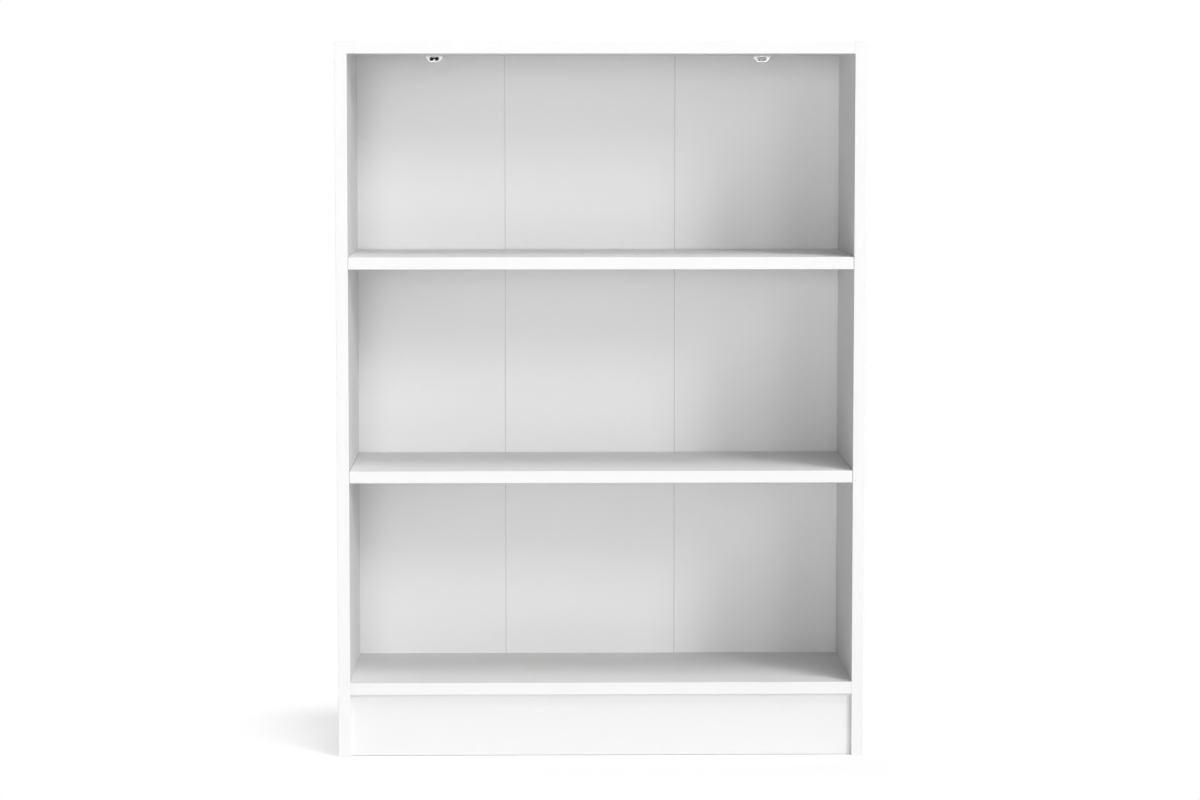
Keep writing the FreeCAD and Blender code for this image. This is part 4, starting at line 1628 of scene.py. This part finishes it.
@dataclass(frozen=True)
class Studio:
    """The floor, the lamps and the white surroundings. Azimuths go from the front to the right."""

    floor_size: float = 60.0
    floor_drop: float = 0.2 * MM
    floor_white: float = 0.8
    floor_shade: float = 0.5
    floor_glow: float = 0.5
    shadow_reach: float = 0.2
    surround: float = 0.055
    lamps: tuple[Lamp, ...] = (
        Lamp("key", azimuth=40.0, elevation=25.0, spread=16.0, level=0.30),
        Lamp("low_right", azimuth=20.0, elevation=14.0, spread=16.0, level=0.10),
        Lamp("high_front", azimuth=32.0, elevation=66.0, spread=26.0, level=0.37),
        Lamp("high_right", azimuth=45.0, elevation=50.0, spread=26.0, level=0.07),
        Lamp("front", azimuth=-4.0, elevation=3.0, spread=14.0, level=0.21),
        Lamp("overhead", azimuth=0.0, elevation=89.0, spread=30.0, level=0.15),
        Lamp("left", azimuth=-104.0, elevation=4.0, spread=30.0, level=0.35),
        Lamp("right", azimuth=104.0, elevation=4.0, spread=30.0, level=0.20),
        Lamp("rear", azimuth=195.0, elevation=50.0, spread=60.0, level=0.30),
    )

    def build(self) -> None:
        """Sets up the whole studio."""
        self._floor()
        self._surroundings()
        for lamp in self.lamps:
            lamp.build()

    def _floor(self) -> None:
        """A pale floor that looks white and keeps the object's shadow, which fades out round the case."""
        bpy.ops.object.select_all(action="DESELECT")
        bpy.ops.mesh.primitive_plane_add(size=self.floor_size, location=(0.0, 0.0, -self.floor_drop))
        floor = bpy.context.object
        floor.name = "floor"
        material = bpy.data.materials.new("floor")
        material.use_nodes = True
        graph = Graph(material.node_tree)
        paint, shade = (
            graph.add("ShaderNodeBsdfDiffuse", {"Color": grey(level)}).outputs[0]
            for level in (self.floor_white, self.floor_shade)
        )
        glow, white = (
            graph.add("ShaderNodeEmission", {"Strength": level}).outputs[0]
            for level in (self.floor_glow, 1.0)
        )
        beside = graph.add("ShaderNodeAddShader", {0: shade, 1: glow}).outputs[0]
        shown = graph.blend_shader(self._far(graph), beside, white)
        shader = graph.blend_shader(self._seen(graph), paint, shown)
        graph.add("ShaderNodeOutputMaterial", {"Surface": shader})
        floor.data.materials.append(material)

    def _far(self, graph: Graph) -> Socket:
        """0 beside the footprint of the case and 1 where its shadow has faded out.

        Args:
            graph: The floor's graph.

        Returns:
            The value, 0..1.
        """
        place = graph.add("ShaderNodeTexCoord").outputs["Object"]
        outside = []
        for axis, half in zip((Axis.X, Axis.Y), CAD_BOX[1]):
            across = graph.maths("ABSOLUTE", graph.along(place, axis.value))
            outside.append(graph.maths("MAXIMUM", graph.maths("SUBTRACT", across, half), 0.0))
        squares = [graph.maths("MULTIPLY", part, part) for part in outside]
        distance = graph.maths("SQRT", graph.maths("ADD", *squares))
        inputs = {"Value": distance, "From Min": 0.0, "From Max": self.shadow_reach}
        return graph.add("ShaderNodeMapRange", inputs, interpolation_type="SMOOTHSTEP").outputs[0]

    @staticmethod
    def _seen(graph: Graph) -> Socket:
        """1 for rays from the camera, also by way of gloss or glass.

        Args:
            graph: The graph of the floor or the world.

        Returns:
            The value, 0 or 1.
        """
        path = graph.add("ShaderNodeLightPath").outputs
        mirrored = graph.maths("MAXIMUM", path["Is Glossy Ray"], path["Is Transmission Ray"])
        return graph.maths("MAXIMUM", path["Is Camera Ray"], mirrored)

    def _surroundings(self) -> None:
        """White to the camera, and an even dim light to everything else."""
        world = bpy.data.worlds.new("surroundings")
        world.use_nodes = True
        bpy.context.scene.world = world
        graph = Graph(world.node_tree)
        dim, white = (
            graph.add("ShaderNodeBackground", {"Color": grey(1.0), "Strength": level}).outputs[0]
            for level in (self.surround, 1.0)
        )
        shader = graph.blend_shader(self._seen(graph), dim, white)
        graph.add("ShaderNodeOutputWorld", {"Surface": shader})


@dataclass(frozen=True)
class PhotoCamera:
    """A camera where the photograph was taken from, for an image of 1200 by 800 pixels.

    Its angles are in degrees and its sensor is in millimetres.
    """

    place: Triple = (-0.0836, -5.0322, 0.990)
    pitch: float = -4.641
    yaw: float = -0.957
    focal_pixels: float = 3290.08
    image_width: float = 1200.0
    sensor: float = 36.0
    shift: tuple[float, float] = (0.0, -0.03)

    def build(self) -> None:
        """Adds the camera and makes it the scene's."""
        data = bpy.data.cameras.new("photo_camera")
        data.sensor_width = self.sensor
        data.lens = self.focal_pixels / self.image_width * self.sensor
        data.shift_x, data.shift_y = self.shift
        camera = bpy.data.objects.new("photo_camera", data)
        camera.location = self.place
        camera.rotation_euler = (math.radians(90.0 + self.pitch), 0.0, math.radians(self.yaw))
        bpy.context.scene.collection.objects.link(camera)
        bpy.context.scene.camera = camera


def main() -> None:
    """Builds and dresses every piece, and sets up the studio and the camera."""
    logging.basicConfig(level=logging.INFO, format="%(name)s: %(message)s")
    bpy.context.scene.view_settings.view_transform = "Standard"
    shelves = ("lower_shelf", "upper_shelf")
    PhotoCamera().build()
    Carcass().build()
    for name in shelves:
        LooseShelf(name).build()
    FoldingBack().build()
    BoardJoints().build()
    for name in shelves:
        ShelfPins(name).build()
    # The left pad's black is painted shade for the dark in its holes; the right pad stays pale.
    WallBracket(Hand.LEFT, SHADE_BLACK_RUBBER).build()
    WallBracket(Hand.RIGHT, PALE_RUBBER).build()
    BracketScrews().build()
    Studio().build()


if __name__ == "__main__":
    main()
